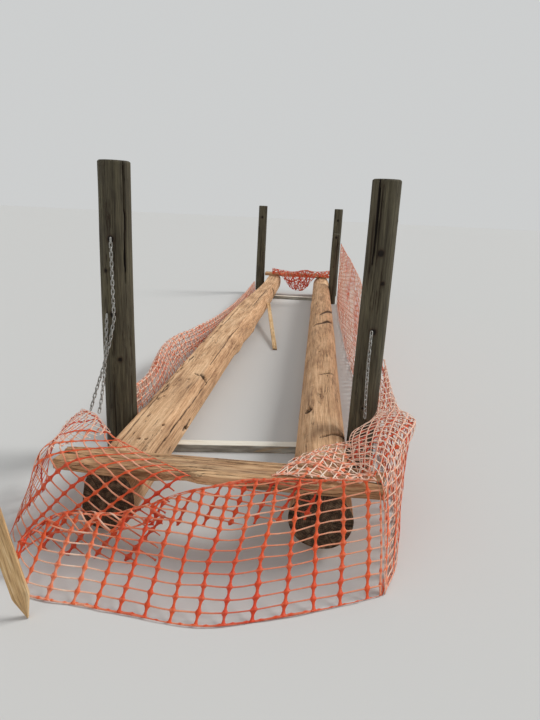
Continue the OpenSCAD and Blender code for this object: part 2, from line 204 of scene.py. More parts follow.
def lumps(points, size, seed):
    """Smooth random heights from about -1 to 1 at these points, in lumps of this size in metres."""
    spread = (np.asarray(points)[..., :3] / size + seed * 7.31).reshape(-1, 3).tolist()
    return np.array([noise.noise(spot) for spot in spread]).reshape(np.shape(points)[:-1])


def add_object(name, held):
    """Puts a mesh, a lamp or a camera into the scene."""
    made = bpy.data.objects.new(name, held)
    bpy.context.collection.objects.link(made)
    return made


def make_piece(name, rows, faces, end_faces, finishes):
    """A mesh piece from rows of position, place in the grain and hollowness, and its faces."""
    used, faces = np.unique(faces, return_inverse=True)
    faces = faces.reshape(-1, 4)
    rows = rows[used]
    skin = bpy.data.meshes.new(name)
    whole = [face if face[2] != face[3] else face[:3] for face in faces.tolist()]
    skin.from_pydata(rows[:, :3].tolist(), [], whole)
    skin.attributes.new("grain", "FLOAT_VECTOR", "POINT").data.foreach_set("vector", rows[:, 3:6].ravel())
    skin.attributes.new("hollow", "FLOAT", "POINT").data.foreach_set("value", rows[:, 6].copy())
    for finish in finishes:
        skin.materials.append(finish)
    skin.polygons.foreach_set("material_index", np.asarray(end_faces, np.int32))
    skin.shade_smooth()
    return add_object(name, skin)


def fit(piece, node):
    """Puts a finished piece on the bridge in place of its plain solid."""
    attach(piece, "root")
    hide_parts(node)


def stations(low, high, step, rim=0.005):
    """Places a step apart from low to high, with closer ones at both ends for a worn arris."""
    inner = np.linspace(low + rim, high - rim, max(1, round((high - low) / step)) + 1)
    return np.concatenate([[low, low + rim / 3], inner, [high - rim / 3, high]])


def block_skin(name, spans, shape, finishes):
    """A sawn piece: the skin of a block with stations over its three spans, which shape turns into rows."""
    block = np.stack(np.meshgrid(*spans, indexing="ij"), -1)
    index = np.arange(block[..., 0].size).reshape(block.shape[:3])
    faces = []
    ends = []
    for axis in range(3):
        for side in (0, -1):
            face = np.take(index, side, axis)
            quads = np.stack([face[:-1, :-1], face[1:, :-1], face[1:, 1:], face[:-1, 1:]], -1).reshape(-1, 4)
            inside_out = (side == 0) != (axis == 1)
            faces.append(quads[:, ::-1] if inside_out else quads)
            ends += [int(axis == 0)] * len(quads)
    return make_piece(name, shape(block).reshape(-1, 7), np.concatenate(faces), ends, finishes)


def rounded(points, low, high, radius):
    """Rounds the arrises of a block that runs from low to high."""
    core = np.clip(points, np.asarray(low) + radius, np.asarray(high) - radius)
    away = points - core
    reach = np.linalg.norm(away, axis=-1, keepdims=True)
    return np.where(reach > radius, core + away * radius / np.maximum(reach, 1e-9), points)


def timber_rows(block, worn, stand, off_heart, seed):
    """The rows of a worn block that lay along X, off the tree's heart, until stand puts it in place."""
    placed = worn @ np.array(stand.to_3x3()).T + np.array(stand.translation)
    placed[..., 2] = np.maximum(placed[..., 2], 0)
    grain = np.stack([block[..., 1] + 0.05, block[..., 0] + seed, block[..., 2] + off_heart], -1)
    return np.concatenate([placed, grain, np.zeros(grain.shape[:-1] + (1,))], -1)


def joist(name, node, y, skew, seed):
    """A cross beam on the ground, with worn arrises that are bitten here and there."""
    low = (-BEAM_LENGTH / 2, -BEAM_WIDTH / 2, 0.0)
    high = (BEAM_LENGTH / 2, BEAM_WIDTH / 2, BEAM_HEIGHT)
    stand = Matrix.Translation((0, y, 0)) @ Matrix.Rotation(skew, 4, "Z")

    def shape(block):
        worn = rounded(block, low, high, BEAM_ARRIS)
        bite = np.maximum(lumps(block, (0.06, 0.02, 0.02), seed), 0)[..., None]
        worn = worn - (worn * (0, 1, 1) - np.array([0, 0, BEAM_HEIGHT / 2])) * bite * (0, 0.05, 0.07)
        worn[..., 2] = np.where(block[..., 2] == 0, 0, worn[..., 2])
        return timber_rows(block, worn, stand, 0.04, seed)

    spans = [stations(*span) for span in zip(low, high, (0.02, 0.008, 0.008))]
    fit(block_skin(name, spans, shape, (beam_timber, beam_end)), node)


beam_timber = wood_finish("beam_timber", BEAM_CREAM, fibre=0.002, band=0.012, checked=0.0, roughness=0.72)
# Painted shade: faces that do not look up are darkened to grey, mottled in streaks.
facing = add_node(beam_timber, "NewGeometry", {}, "Normal")
facing_up = add_node(beam_timber, "SeparateXYZ", {0: facing}, "Z")
side_shade_mottle = fade(beam_timber, stretched(beam_timber, 0.03, 0.2, 5, 2.2), 0.3, 0.6, 0.55, 0.9)
shaded_sides = fade(beam_timber, facing_up, 0.2, 0.8, 1.0, 0.0)
stain(beam_timber, calc(beam_timber, "MULTIPLY", shaded_sides, side_shade_mottle), BEAM_SIDE_SHADE)
blotch(beam_timber, BEAM_OCHRE, 0.05, 0.25, 3, 6.4, 0.60, 0.70, 0.35)
beam_end = end_grain_finish("beam_end", BEAM_END, 0.007)
far_beam_y = sum(corner.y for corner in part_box("far_cross_beam")) / 2
joist("near_beam", "near_cross_beam", 0, NEAR_BEAM_SKEW, 1)
joist("far_beam", "far_cross_beam", far_beam_y, 0, 5)

# Stringer logs: two whole trunks, barked, that carried the deck. They lie on the cross beams.
# The left one's top was hewn flat for the boards, and its near corner has broken off. Old deck
# spikes have left holes along it, and both have opened in long drying cracks.
LOG_BOTTOM = 0.04
LEFT_LOG_TALL = 0.305
LEFT_LOG_START = -0.530
LEFT_LOG_LEAN = 0.142 / 7
RIGHT_LOG_X = 0.442
LOG_WOBBLE = 0.03
LOG_ARC = 0.14
LOG_RINGS = 480
UPPER_SIDES = 112
LOWER_SIDES = 24
UNDERSIDE = (212, 328)
LEDGE_FACE = 0.035
HEWN_ROUGH = 0.0018
CRACK_DARK = 0.009
LOG_TAN = ((0.310, 0.160, 0.078), (0.655, 0.393, 0.211), (0.850, 0.572, 0.340))
# The log ends' tones are kept very dark: painted shade over their end grain.
LOG_END_SHADE = ((0.045, 0.028, 0.017), (0.105, 0.067, 0.040), (0.190, 0.130, 0.082))
LOG_GREY = (0.36, 0.26, 0.18)
SAW_BROWN = (0.20, 0.110, 0.055)
KNOT_BROWN = (0.12, 0.060, 0.030)
log_low, log_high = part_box("left_log")
log_near_y = log_low.y
log_far_y = log_high.y
log_top = log_high.z
log_length = log_far_y - log_near_y


def curve_weights(count, places):
    """How much each of count points weighs at these places on the smooth curve through them."""
    places = np.clip(places, 0, count - 1)
    leg = np.minimum(places.astype(int), count - 2)
    f = places - leg
    pulls = [-f + 2 * f**2 - f**3, 2 - 5 * f**2 + 3 * f**3, f + 4 * f**2 - 3 * f**3, f**3 - f**2]
    shares = np.stack(pulls, 1) / 2
    weights = np.zeros((len(places), count))
    for k in range(4):
        np.add.at(weights, (np.arange(len(places)), np.clip(leg + k - 1, 0, count - 1)), shares[:, k])
    return weights


def crack_depth(along, around, cracks):
    """How deep each place lies in the cracks, each of which is its half width, its depth and its path."""
    sunk = np.zeros(along.shape)
    for half_width, depth, path in cracks:
        legs = list(zip(path, path[1:]))
        for number, (start, end) in enumerate(legs):
            leg = np.subtract(end, start)
            share = ((along - start[0]) * leg[0] + (around - start[1]) * leg[1]) / (leg @ leg)
            held = np.clip(share, 0, 1)
            off = np.hypot(along - start[0] - held * leg[0], around - start[1] - held * leg[1])
            through = (number + held) / len(legs)
            opening = half_width * np.clip(4 * np.minimum(through, 1 - through) + 0.35, 0, 1)
            sunk = np.maximum(sunk, depth * np.clip(1.15 - off / opening, 0, 1))
    return sunk


def on_arc(cracks, arc):
    """Cracks with the angles of their paths, in degrees, as distances round a timber of this radius."""
    return [(half_width, depth, [(at, math.radians(angle) * arc) for at, angle in path])
            for half_width, depth, path in cracks]


def round_skin(name, rings, hearts, finishes):
    """A round timber: rings of rows joined along it, and end faces of smaller rings round the heart."""
    count, sides = rings.shape[:2]
    shares = (0.97, 0.88, 0.76, 0.62, 0.48, 0.34, 0.2, 0.08)
    near_end = [hearts[0] + (rings[0] - hearts[0]) * share for share in shares]
    far_end = [hearts[-1] + (rings[-1] - hearts[-1]) * share for share in shares]
    whole = np.concatenate([near_end[::-1], rings, far_end])
    index = np.arange(whole[..., 0].size).reshape(whole.shape[:2])
    ahead, aside = index[1:], np.roll(index, -1, 1)
    quads = np.stack([index[:-1], aside[:-1], aside[1:], ahead], -1).reshape(-1, 4)
    hub = whole[..., 0].size
    caps = [[index[0, (k + 1) % sides], index[0, k], hub, hub] for k in range(sides)]
    caps += [[index[-1, k], index[-1, (k + 1) % sides], hub + 1, hub + 1] for k in range(sides)]
    is_end = np.zeros((len(whole) - 1, sides), int)
    is_end[:len(shares)] = 1
    is_end[-len(shares):] = 1
    rows = np.concatenate([whole.reshape(-1, 7), hearts[:1], hearts[-1:]])
    ends = np.concatenate([is_end.ravel(), np.ones(len(caps), int)])
    piece = make_piece(name, rows, np.concatenate([quads, caps]), ends, finishes)
    rims = {len(shares), len(shares) + count - 1}
    sharp = [v0 // sides in rims and v0 // sides == v1 // sides for v0, v1 in piece.data.edge_keys]
    piece.data.attributes.new("sharp_edge", "BOOLEAN", "EDGE").data.foreach_set("value", sharp)
    return piece


def trunk(name, node, spine, tall, power, seed, knots, ledges, cracks, pits):
    """One log, with the same spine, girth and knots as its solid, and with its cracks and spike holes.
    A knot is its place along the log, its angle, its height, its reach and its spread, and a ledge has
    no spread. A pit is its place, its angle, its half length, its half width and its depth."""
    t = np.linspace(0, 1, LOG_RINGS)
    along = log_length * (0.6 * t + 0.4 * t**2)
    upper = np.linspace(UNDERSIDE[1] - 360, UNDERSIDE[0], UPPER_SIDES)
    lower = np.linspace(*UNDERSIDE, LOWER_SIDES)[1:-1]
    angle = np.radians(np.concatenate([upper, lower]))[None, :]
    s = along[:, None]
    centre_x, width = (curve_weights(len(spine), (len(spine) - 1) * along / log_length) @ np.array(spine)).T

    def off_angle(at):
        return (np.degrees(angle) - at + 180) % 360 - 180

    swell = 1 + LOG_WOBBLE * (0.5 * np.sin(2 * angle + np.radians(s * 1000 / 21 + seed))
                              + 0.35 * np.sin(3 * angle - np.radians(s * 1000 / 27 - 2 * seed))
                              + 0.25 * np.sin(5 * angle + np.radians(s * 1000 / 13 + 3 * seed)))
    for knot_s, knot_angle, height, reach, spread in knots:
        rise = np.exp(-((s - knot_s) / reach)**2)
        swell = swell + height * rise * np.exp(-(off_angle(knot_angle) / spread)**2)
    for ledge_s, ledge_angle, height, reach in ledges:
        rise = np.exp(-((s - ledge_s) / np.where(s > ledge_s, reach, LEDGE_FACE))**2)
        swell = swell + height * rise * np.exp(-(off_angle(ledge_angle) / 26)**2)
    spot = np.stack(np.broadcast_arrays(np.cos(angle) * LOG_ARC, s, np.sin(angle) * LOG_ARC), -1)
    swell = swell + 0.012 * lumps(spot, (0.10, 0.45, 0.10), seed)
    swell = swell + 0.006 * lumps(spot, (0.03, 0.30, 0.03), seed + 1)
    lean_x = np.sign(np.cos(angle)) * np.abs(np.cos(angle))**power * width[:, None] / 2
    lean_z = np.sign(np.sin(angle)) * np.abs(np.sin(angle))**power * tall / 2
    hewn_top = log_top - HEWN_ROUGH * (1 + lumps(spot, (0.05, 0.16, 0.05), seed + 2))
    heart_z = LOG_BOTTOM + tall / 2
    z = np.minimum(heart_z + lean_z * swell, hewn_top)
    jitter = 0.006 * lumps(spot, (0.05, 0.12, 0.05), seed + 3)
    sunk = crack_depth(np.broadcast_to(s, z.shape), angle * LOG_ARC + jitter, on_arc(cracks, LOG_ARC))
    for pit_s, pit_angle, half_long, half_round, deep in pits:
        off = np.hypot((s - pit_s) / half_long, (angle - math.radians(pit_angle)) * LOG_ARC / half_round)
        sunk = np.maximum(sunk, deep * np.clip(2.2 * (1 - off), 0, 1))
    keep = 1 - sunk / (width[:, None] / 2)
    x = lean_x * swell * keep
    z = heart_z + (z - heart_z) * keep
    y = np.broadcast_to(log_near_y + s, x.shape)
    world_x = centre_x[:, None] + x
    over_near = np.abs(y * math.cos(NEAR_BEAM_SKEW) - world_x * math.sin(NEAR_BEAM_SKEW)) < BEAM_WIDTH / 2
    over_far = np.abs(y - far_beam_y) < BEAM_WIDTH / 2
    z = np.where(over_near | over_far, np.maximum(z, BEAM_HEIGHT), z)
    # Cracks and pits are marked dark by their depth: painted shade, with some dirt.
    hollow = np.clip(sunk / CRACK_DARK, 0, 1)
    rings = np.stack([world_x, y, z, x, np.broadcast_to(s + seed, x.shape), z - heart_z, hollow], -1)
    nought = np.zeros(LOG_RINGS)
    hearts = np.stack([centre_x, log_near_y + along, nought + heart_z, nought, along + seed, nought, nought],
                      -1)
    fit(round_skin(name, rings, hearts[[0, -1]], (log_wood, shaded_log_end)), node)


log_wood = wood_finish("log_wood", LOG_TAN, fibre=0.0026, band=0.014, check_gap=0.016, checked=0.22)
blotch(log_wood, LOG_GREY, 0.09, 0.7, 4, 12.6, 0.54, 0.68, 0.22)
blotch(log_wood, SAW_BROWN, 0.16, 0.010, 3, 23.0, 0.52, 0.66, 0.16)
relief(log_wood, stretched(log_wood, 0.16, 0.010, 3, 23.0), 0.0012)
blotch(log_wood, KNOT_BROWN, 0.02, 0.035, 2, 4.4, 0.70, 0.77, 0.75)
shaded_log_end = end_grain_finish("shaded_log_end", LOG_END_SHADE, 0.009)

left_spine = [(LEFT_LOG_START + place * LEFT_LOG_LEAN, girth) for place, girth in (
    (0, 0.262), (0.75, 0.266), (1.5, 0.281), (3.7, 0.300), (6.4, 0.226), (7, 0.226))]
left_knots = [(3.7, -22, 0.13, 0.24, 28), (0, 165, -0.22, 0.11, 48), (0.76, 180, -0.06, 0.09, 26),
              (5.9, -10, 0.07, 0.16, 24), (2.3, 30, 0.04, 0.26, 30)]
left_ledges = [(2.98, -14, 0.17, 0.30), (3.86, -12, 0.10, 0.26)]
left_cracks = [
    (0.0048, 0.016, [(0.28, 23), (0.80, 20), (1.20, 17), (1.72, 15)]),
    (0.0045, 0.012, [(0.30, 112), (0.75, 118), (1.30, 122)]),
    (0.0045, 0.012, [(1.75, 44), (2.60, 48), (3.30, 46)]),
    (0.0050, 0.014, [(2.50, 118), (3.40, 112), (4.30, 116)]),
    (0.0055, 0.014, [(4.30, 66), (5.00, 70), (5.90, 66)]),
    (0.0130, 0.034, [(0.86, -3), (0.958, -12), (1.06, -8)]),
    (0.0120, 0.030, [(0.958, -12), (1.02, -26)]),
    (0.0100, 0.020, [(1.560, 76), (1.525, 60), (1.545, 40)]),
    (0.0250, 0.036, [(1.555, 52), (1.530, 40), (1.555, 20)]),
    (0.0260, 0.026, [(6.04, 36), (6.16, 8), (6.26, -25)]),
    (0.0060, 0.020, [(0.30, 190), (1.20, 184), (2.60, 188)]),
    (0.0060, 0.020, [(3.10, 176), (4.40, 182), (6.10, 178)])]
left_pits = [
    (0.612, 50, 0.016, 0.010, 0.035), (0.415, 68, 0.014, 0.009, 0.035), (0.410, 84, 0.011, 0.008, 0.030),
    (0.93, 137, 0.100, 0.022, 0.014), (1.05, 103, 0.011, 0.006, 0.025), (1.42, 80, 0.012, 0.007, 0.025),
    (2.05, 62, 0.014, 0.008, 0.030), (2.90, 84, 0.016, 0.009, 0.030), (3.80, 92, 0.018, 0.010, 0.030)]
bark_scars = np.random.default_rng(83)
left_pits += [(bark_scars.uniform(0.15, 3.4), bark_scars.uniform(112, 150), bark_scars.uniform(0.02, 0.07),
               bark_scars.uniform(0.006, 0.013), bark_scars.uniform(0.005, 0.012)) for _ in range(26)]
trunk("hewn_left_log", "left_log", left_spine, LEFT_LOG_TALL, 0.82, 40,
      left_knots, left_ledges, left_cracks, left_pits)

right_spine = [(RIGHT_LOG_X, 0.282), (RIGHT_LOG_X, 0.282), (RIGHT_LOG_X, 0.262)]
right_knots = [(1.4, 100, -0.05, 0.12, 16), (3.3, 30, 0.04, 0.30, 30), (5.2, 160, 0.05, 0.26, 30)]
right_cracks = [
    (0.0075, 0.022, [(0.60, 97), (0.655, 71), (0.80, 20), (0.97, -26)]),
    (0.0240, 0.026, [(3.47, 130), (3.60, 85), (3.89, 33)]),
    (0.0190, 0.016, [(4.01, 103), (4.40, 50), (4.93, -14)]),
    (0.0110, 0.014, [(1.74, 100), (1.78, 72), (1.84, 48)]),
    # The ring crack by the far end stands in for a shadow band: painted shadow, cut in and darkened.
    (0.0200, 0.020, [(7.18, 172), (7.24, 95), (7.20, 14)]),
    (0.0060, 0.020, [(0.40, 8), (1.90, 2), (3.40, 7)]),
    (0.0060, 0.020, [(0.70, 170), (2.20, 176), (4.00, 171)])]
right_pits = [
    (1.036, 127, 0.044, 0.027, 0.064), (1.30, 96, 0.012, 0.006, 0.022), (1.72, 74, 0.014, 0.006, 0.022),
    (0.42, 102, 0.010, 0.006, 0.022), (2.40, 100, 0.014, 0.008, 0.025), (3.00, 70, 0.014, 0.008, 0.025)]
trunk("round_right_log", "right_log", right_spine, log_top - LOG_BOTTOM + 0.006, 1, 130,
      right_knots, [], right_cracks, right_pits)

# Posts: round pine poles, pressure treated and gone dark olive, set upright beside the logs to carry
# the handrail chains. Each has a bevelled head, chain holes drilled along the bridge, a few knots,
# and one deep drying check with finer ones round it. A shorter fifth post stands at the far right.
HEAD_BEVEL = 0.008
POST_TAPER = 0.94
HOLE_WIDTH = 0.026
UPPER_HOLE = 1.290
LOWER_HOLE = 0.880
SHORT_POST_HOLE = 1.050
POST_SIDES = 112
POST_RING_GAP = 0.011
DEEP_CHECK = (0.0050, 0.028)
FINE_CHECK = (0.0042, 0.010)
FINE_CHECKS = 9
CHECK_DARK = 0.010
POST_BOW = 0.004
KNOT_SWELL = 0.004
KNOT_DIP = 0.006
BIT_SIDES = 28
POST_OLIVE = ((0.040, 0.033, 0.021), (0.074, 0.063, 0.040), (0.130, 0.114, 0.072))
POST_HEAD = ((0.060, 0.050, 0.035), (0.15, 0.13, 0.095), (0.27, 0.24, 0.18))
SHADE_AND_KNOT_BLACK = (0.006, 0.004, 0.003)
LICHEN = (0.135, 0.122, 0.070)
BLEACHED_OLIVE = (0.20, 0.175, 0.110)


def middle_of(node):
    """The middle of a solid's plan."""
    low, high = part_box(node)
    return (low.x + high.x) / 2, (low.y + high.y) / 2


def drill(piece, places, drift):
    """Drills level holes along the bridge through a post."""
    turns = np.linspace(0, 2 * math.pi, BIT_SIDES, endpoint=False)
    ring = np.stack([np.cos(turns), np.zeros(BIT_SIDES), np.sin(turns)], -1) * HOLE_WIDTH / 2
    sides = [(k, (k + 1) % BIT_SIDES, BIT_SIDES + (k + 1) % BIT_SIDES, BIT_SIDES + k)
             for k in range(BIT_SIDES)]
    ends = [tuple(range(BIT_SIDES - 1, -1, -1)), tuple(range(BIT_SIDES, 2 * BIT_SIDES))]
    for place in places:
        tube = np.concatenate([ring + place + (0, -drift, 0), ring + place + (0, drift, 0)])
        bit_mesh = bpy.data.meshes.new("drill_bit")
        bit_mesh.from_pydata(tube.tolist(), [], [*sides, *ends])
        bit = add_object("drill_bit", bit_mesh)
        cut = piece.modifiers.new("drill", "BOOLEAN")
        cut.object = bit
        cut.operation = "DIFFERENCE"
        cut.solver = "EXACT"
        bpy.context.view_layer.update()
        cut_piece = piece.evaluated_get(bpy.context.evaluated_depsgraph_get())
        drilled = bpy.data.meshes.new_from_object(cut_piece)
        piece.modifiers.clear()
        piece.data = drilled
        bpy.data.objects.remove(bit)


def post(name, node, girth, holes, check_turn, check_length, knots, seed):
    """One post, standing where its solid does, with its checks, knots and drilled holes. A knot is its
    height, its angle and its size."""
    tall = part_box(node)[1].z
    base = np.array([*middle_of(node), 0.0])
    ring_gap = POST_RING_GAP * (1 if base[1] < 2 else 2)
    up = np.concatenate([np.arange(0, tall - HEAD_BEVEL, ring_gap),
                         tall - HEAD_BEVEL * np.array([1, 0.6, 0.25, 0])])
    turn = np.linspace(-math.pi, math.pi, POST_SIDES, endpoint=False)[None, :]
    z = up[:, None]
    radius = girth / 2 * (1 - (1 - POST_TAPER) * z / tall)
    bevel = np.clip((z - (tall - HEAD_BEVEL)) / HEAD_BEVEL, 0, 1)
    radius = radius - HEAD_BEVEL * bevel**1.5
    spot = np.stack(np.broadcast_arrays(np.cos(turn) * girth / 2, np.sin(turn) * girth / 2, z), -1)
    wavy = 0.0016 * lumps(spot, (0.09, 0.09, 0.6), seed)
    wavy = wavy + 0.0008 * lumps(spot, (0.018, 0.018, 0.25), seed + 1)
    jitter = 0.004 * lumps(spot, (0.05, 0.05, 0.15), seed + 2)
    turned = np.random.default_rng(seed)
    cracks = [(*DEEP_CHECK, [(tall + 0.02, check_turn), (tall - check_length * 0.5, check_turn + 2),
                             (tall - check_length, check_turn - 1)])]
    for _ in range(FINE_CHECKS):
        top = turned.uniform(0.25, 1.0) * tall
        at = turned.uniform(-180, 180)
        reach = turned.uniform(0.2, 0.6)
        path = [(top, at), (top - reach / 2, at + turned.uniform(-3, 3)), (top - reach, at)]
        cracks.append((*FINE_CHECK, path))
    arc = girth / 2
    arc_cracks = on_arc(cracks, arc)

    def wear(height, angle, shift):
        sunk = crack_depth(height, angle * arc + shift, arc_cracks)
        dark = np.clip(sunk / CHECK_DARK, 0, 1)
        swell = np.zeros(height.shape)
        for knot_z, knot_turn, size in knots:
            off = np.hypot(height - knot_z, (angle - math.radians(knot_turn)) * arc) / size
            swell += KNOT_SWELL * np.exp(-off**2) - KNOT_DIP * np.exp(-(off * 2.6)**2)
            dark = np.maximum(dark, np.clip(1.25 - off, 0, 0.85))
        # Round each hole's mouth the wood is darkened: painted shade.
        for hole_z in holes:
            for face in (-90, 90):
                off = np.hypot(height - hole_z, (angle - math.radians(face)) * arc) / HOLE_WIDTH
                dark = np.maximum(dark, np.clip(1.35 - off, 0, 0.8))
        return sunk, swell, dark

    height = np.broadcast_to(z, wavy.shape)
    sunk, swell, dark = wear(height, turn, jitter)
    radius = radius + wavy + swell - sunk
    x = np.cos(turn) * radius + POST_BOW * np.sin(z * 2.1 + seed)
    y = np.sin(turn) * radius
    rings = np.stack([x + base[0], y + base[1], height, x, height + seed, y, dark], -1)
    heart = np.array([[base[0], base[1], 0, 0, seed, 0, 0], [base[0], base[1], tall, 0, tall + seed, 0, 0]])
    piece = round_skin(name, rings, heart, (post_wood, post_head))
    drill(piece, [(base[0], base[1], hole_z) for hole_z in holes], girth)
    points = np.array([corner.co for corner in piece.data.vertices]) - base
    grain = np.stack([points[:, 0], points[:, 2] + seed, points[:, 1]], -1)
    angle = np.arctan2(points[:, 1], points[:, 0])
    skin = np.stack([np.cos(angle) * arc, np.sin(angle) * arc, points[:, 2]], -1)
    _, _, dark = wear(points[:, 2], angle, 0.004 * lumps(skin, (0.05, 0.05, 0.15), seed + 2))
    # The walls of the drilled holes are marked nearly black: painted shade.
    inside = np.clip((radius.min() - 0.008 - np.hypot(points[:, 0], points[:, 1])) / 0.01, 0, 1)
    on_end = (points[:, 2] < 0.001) | (points[:, 2] > tall - 0.001)
    dark = np.where(on_end, 0, np.maximum(dark, inside * 0.9))
    piece.data.attributes["grain"].data.foreach_set("vector", grain.ravel())
    piece.data.attributes["hollow"].data.foreach_set("value", dark)
    fit(piece, node)


post_wood = wood_finish("post_wood", POST_OLIVE, fibre=0.0028, band=0.014, check_gap=0.022, checked=0.6)
blotch(post_wood, LICHEN, 0.06, 0.30, 5, 15.2, 0.54, 0.68, 0.35)
blotch(post_wood, BLEACHED_OLIVE, 0.010, 0.55, 4, 9.9, 0.56, 0.70, 0.24)
# The darkest marks go near black: painted shade in holes and deep checks, and the dark hearts of knots.
stain_where(post_wood, mark_of(post_wood, "hollow"), 0.55, 0.80, 0.92, SHADE_AND_KNOT_BLACK)
post_head = end_grain_finish("post_head", POST_HEAD, 0.005)

near_holes = (UPPER_HOLE, LOWER_HOLE)
post("left_rail_post", "near_left_post", 0.182, near_holes, -38, 0.640,
     [(0.62, -70, 0.022), (1.12, -112, 0.018), (0.30, 40, 0.020), (1.40, 150, 0.018)], 3)
post("right_rail_post", "near_right_post", 0.156, near_holes, -122, 0.420,
     [(1.137, -71, 0.018), (0.45, -100, 0.016), (0.75, 100, 0.018), (1.45, 10, 0.015)], 11)
post("far_left_rail_post", "far_left_post", 0.150, (UPPER_HOLE,), -40, 0.300,
     [(0.70, -60, 0.016), (1.05, 120, 0.016)], 17)
post("far_right_rail_post", "far_right_post", 0.150, (UPPER_HOLE,), -140, 0.260,
     [(0.90, -95, 0.016), (0.50, 60, 0.016)], 23)
post("short_post", "short_right_post", 0.125, (SHORT_POST_HOLE,), -50, 0.180,
     [(0.60, -100, 0.014), (0.85, 80, 0.014)], 29)

# Deck boards: two sawn hardwood planks, the last of the deck, lying across the logs. The near one's
# front edge has torn away where spikes held it, and its ends have split. The far one is sounder.
# Cracks and rotten spots are placed by their distance from a board's left end and from its middle line.
BOARD_WIDTH = 0.195
BOARD_THICKNESS = 0.05
NEAR_BOARD_LENGTH = 1.50
FAR_BOARD_LENGTH = 1.11
ARRIS_WEAR = 0.007
SAW_FUZZ = 0.0025
RIDGE = 0.0018
END_RAG = 0.006
BOARD_TAN = ((0.220, 0.108, 0.048), (0.560, 0.325, 0.165), (0.780, 0.530, 0.300))
BOARD_END = ((0.10, 0.060, 0.035), (0.23, 0.15, 0.09), (0.40, 0.29, 0.19))
BOARD_SILVER = (0.30, 0.245, 0.185)
half_near = NEAR_BOARD_LENGTH / 2
half_far = FAR_BOARD_LENGTH / 2
half_deep = BOARD_WIDTH / 2


def lengthwise(half_long, from_left, from_right=()):
    """Places along a board, from their distances in from its left and its right end."""
    return np.concatenate([-half_long + np.array(from_left, float), half_long - np.array(from_right, float)])


def plank(name, node, edges, crevices, rotten, seed):
    """A worn board in its solid's place: edges are its front, back, left and right outlines, and a
    rotten spot is its place, its half length, its half width and its depth."""
    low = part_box(node)[0]
    middle = np.array([*middle_of(node), low.z])
    front, back, left, right = edges
    across = np.unique(np.concatenate([stations(-half_deep, half_deep, 0.005), left[0], right[0]]))
    half_long = max(right[1])

    def shape(block):
        share = (block[..., 0] + half_long) / (2 * half_long)
        aside = block[..., 1]
        x_left = np.interp(aside, *left)
        x = x_left + share * (np.interp(aside, *right) - x_left)
        y_front = np.interp(x, *front)
        y = y_front + (aside + half_deep) / BOARD_WIDTH * (np.interp(x, *back) - y_front)
        z = block[..., 2]
        spot = np.stack([x, y, z], -1)
        level = z / BOARD_THICKNESS
        ridges = lumps(spot, (0.35, 0.011, 0.2), seed) + 0.5 * lumps(spot, (0.12, 0.005, 0.2), seed + 1)
        jitter = 0.003 * lumps(spot, (0.06, 0.05, 0.05), seed + 2)
        from_left = x + half_long
        sunk = crack_depth(from_left, y + jitter, crevices)
        rag = 1 + 0.5 * lumps(spot, (0.05, 0.02, 0.05), seed + 3)
        dip = 0
        for pit_x, pit_y, half_x, half_y, deep in rotten:
            off = np.hypot((from_left - pit_x) / half_x, (y - pit_y) / half_y)
            dip = np.maximum(dip, deep * np.clip(1.4 * (1 - off), 0, 1) * rag)
        to_edge = np.minimum(aside + half_deep, half_deep - aside)
        worn = 1 + 0.7 * lumps(spot, (0.05, 0.03, 0.05), seed + 4)
        arris = ARRIS_WEAR * np.clip(1 - to_edge / 0.010, 0, 1)**2 * worn
        drop = np.clip(RIDGE * (1.4 - ridges), 0, 1) + sunk + dip + arris
        z = z - level * drop + (1 - level) * arris * 0.6
        fuzz = SAW_FUZZ * lumps(spot, (0.25, 0.05, 0.007), seed + 5)
        y = y - np.sign(aside) * np.clip(1 - to_edge / 0.004, 0, 1) * (SAW_FUZZ + fuzz)
        ragged = np.clip(1 - np.minimum(share, 1 - share) / 0.02, 0, 1)
        x = x - np.sign(share - 0.5) * ragged * END_RAG * (1 + lumps(spot, (0.02, 0.006, 0.012), seed + 6))
        hollow = np.clip(level * (sunk / 0.007 + dip / 0.03), 0, 0.9)
        placed = np.stack([x, y, z], -1) + middle
        grain = np.stack([y + 0.03, x + seed, z + 0.06], -1)
        return np.concatenate([placed, grain, hollow[..., None]], -1)

    spans = [stations(-half_long, half_long, 0.0055), across, stations(0, BOARD_THICKNESS, 0.008)]
    fit(block_skin(name, spans, shape, (board_wood, board_end)), node)


board_wood = wood_finish("board_wood", BOARD_TAN, fibre=0.0026, band=0.011, check_gap=0.020, checked=0.7)
blotch(board_wood, BOARD_SILVER, 0.07, 0.5, 4, 21.0, 0.54, 0.68, 0.24)
board_end = end_grain_finish("board_end", BOARD_END, 0.006)

near_edges = (
    (lengthwise(half_near, (0, 0.09, 0.25, 0.48, 0.555, 0.62, 0.67, 0.75), (0.24, 0.09, 0)),
     -half_deep + np.array([0.040, 0.030, 0.012, 0.003, 0.022, 0.030, 0.012, 0.004, 0, 0.006, 0.003])),
    (lengthwise(half_near, (0, 0.08, 0.57), (0.13, 0)), half_deep - np.array([0.010, 0, 0.004, 0, 0.012])),
    ((-half_deep, -0.004, 0.006, 0.016, half_deep), lengthwise(half_near, (0, 0.010, 0.120, 0.014, 0.006))),
    ((-half_deep, -half_deep + 0.060, -half_deep + 0.072, -half_deep + 0.084, half_deep),
     lengthwise(half_near, (), (0, 0.012, 0.095, 0.008, 0))))
near_crevices = [
    (0.0040, 0.016, [(0.10, 0.006), (0.27, 0.012), (0.48, 0.004)]),
    (0.0030, 0.009, [(0.30, 0.052), (0.72, 0.058), (1.05, 0.050)]),
    (0.0030, 0.009, [(0.48, -0.030), (0.76, -0.020), (1.00, -0.026)]),
    (0.0040, 0.014, [(1.41, -0.026), (1.26, -0.020), (1.00, -0.030)])]
near_rot = [(0.60, -half_deep + 0.012, 0.110, 0.034, 0.016), (0.77, -0.055, 0.05, 0.018, 0.005),
            (1.45, -half_deep + 0.05, 0.06, 0.022, 0.008)]
plank("near_board", "near_deck_board", near_edges, near_crevices, near_rot, 31)

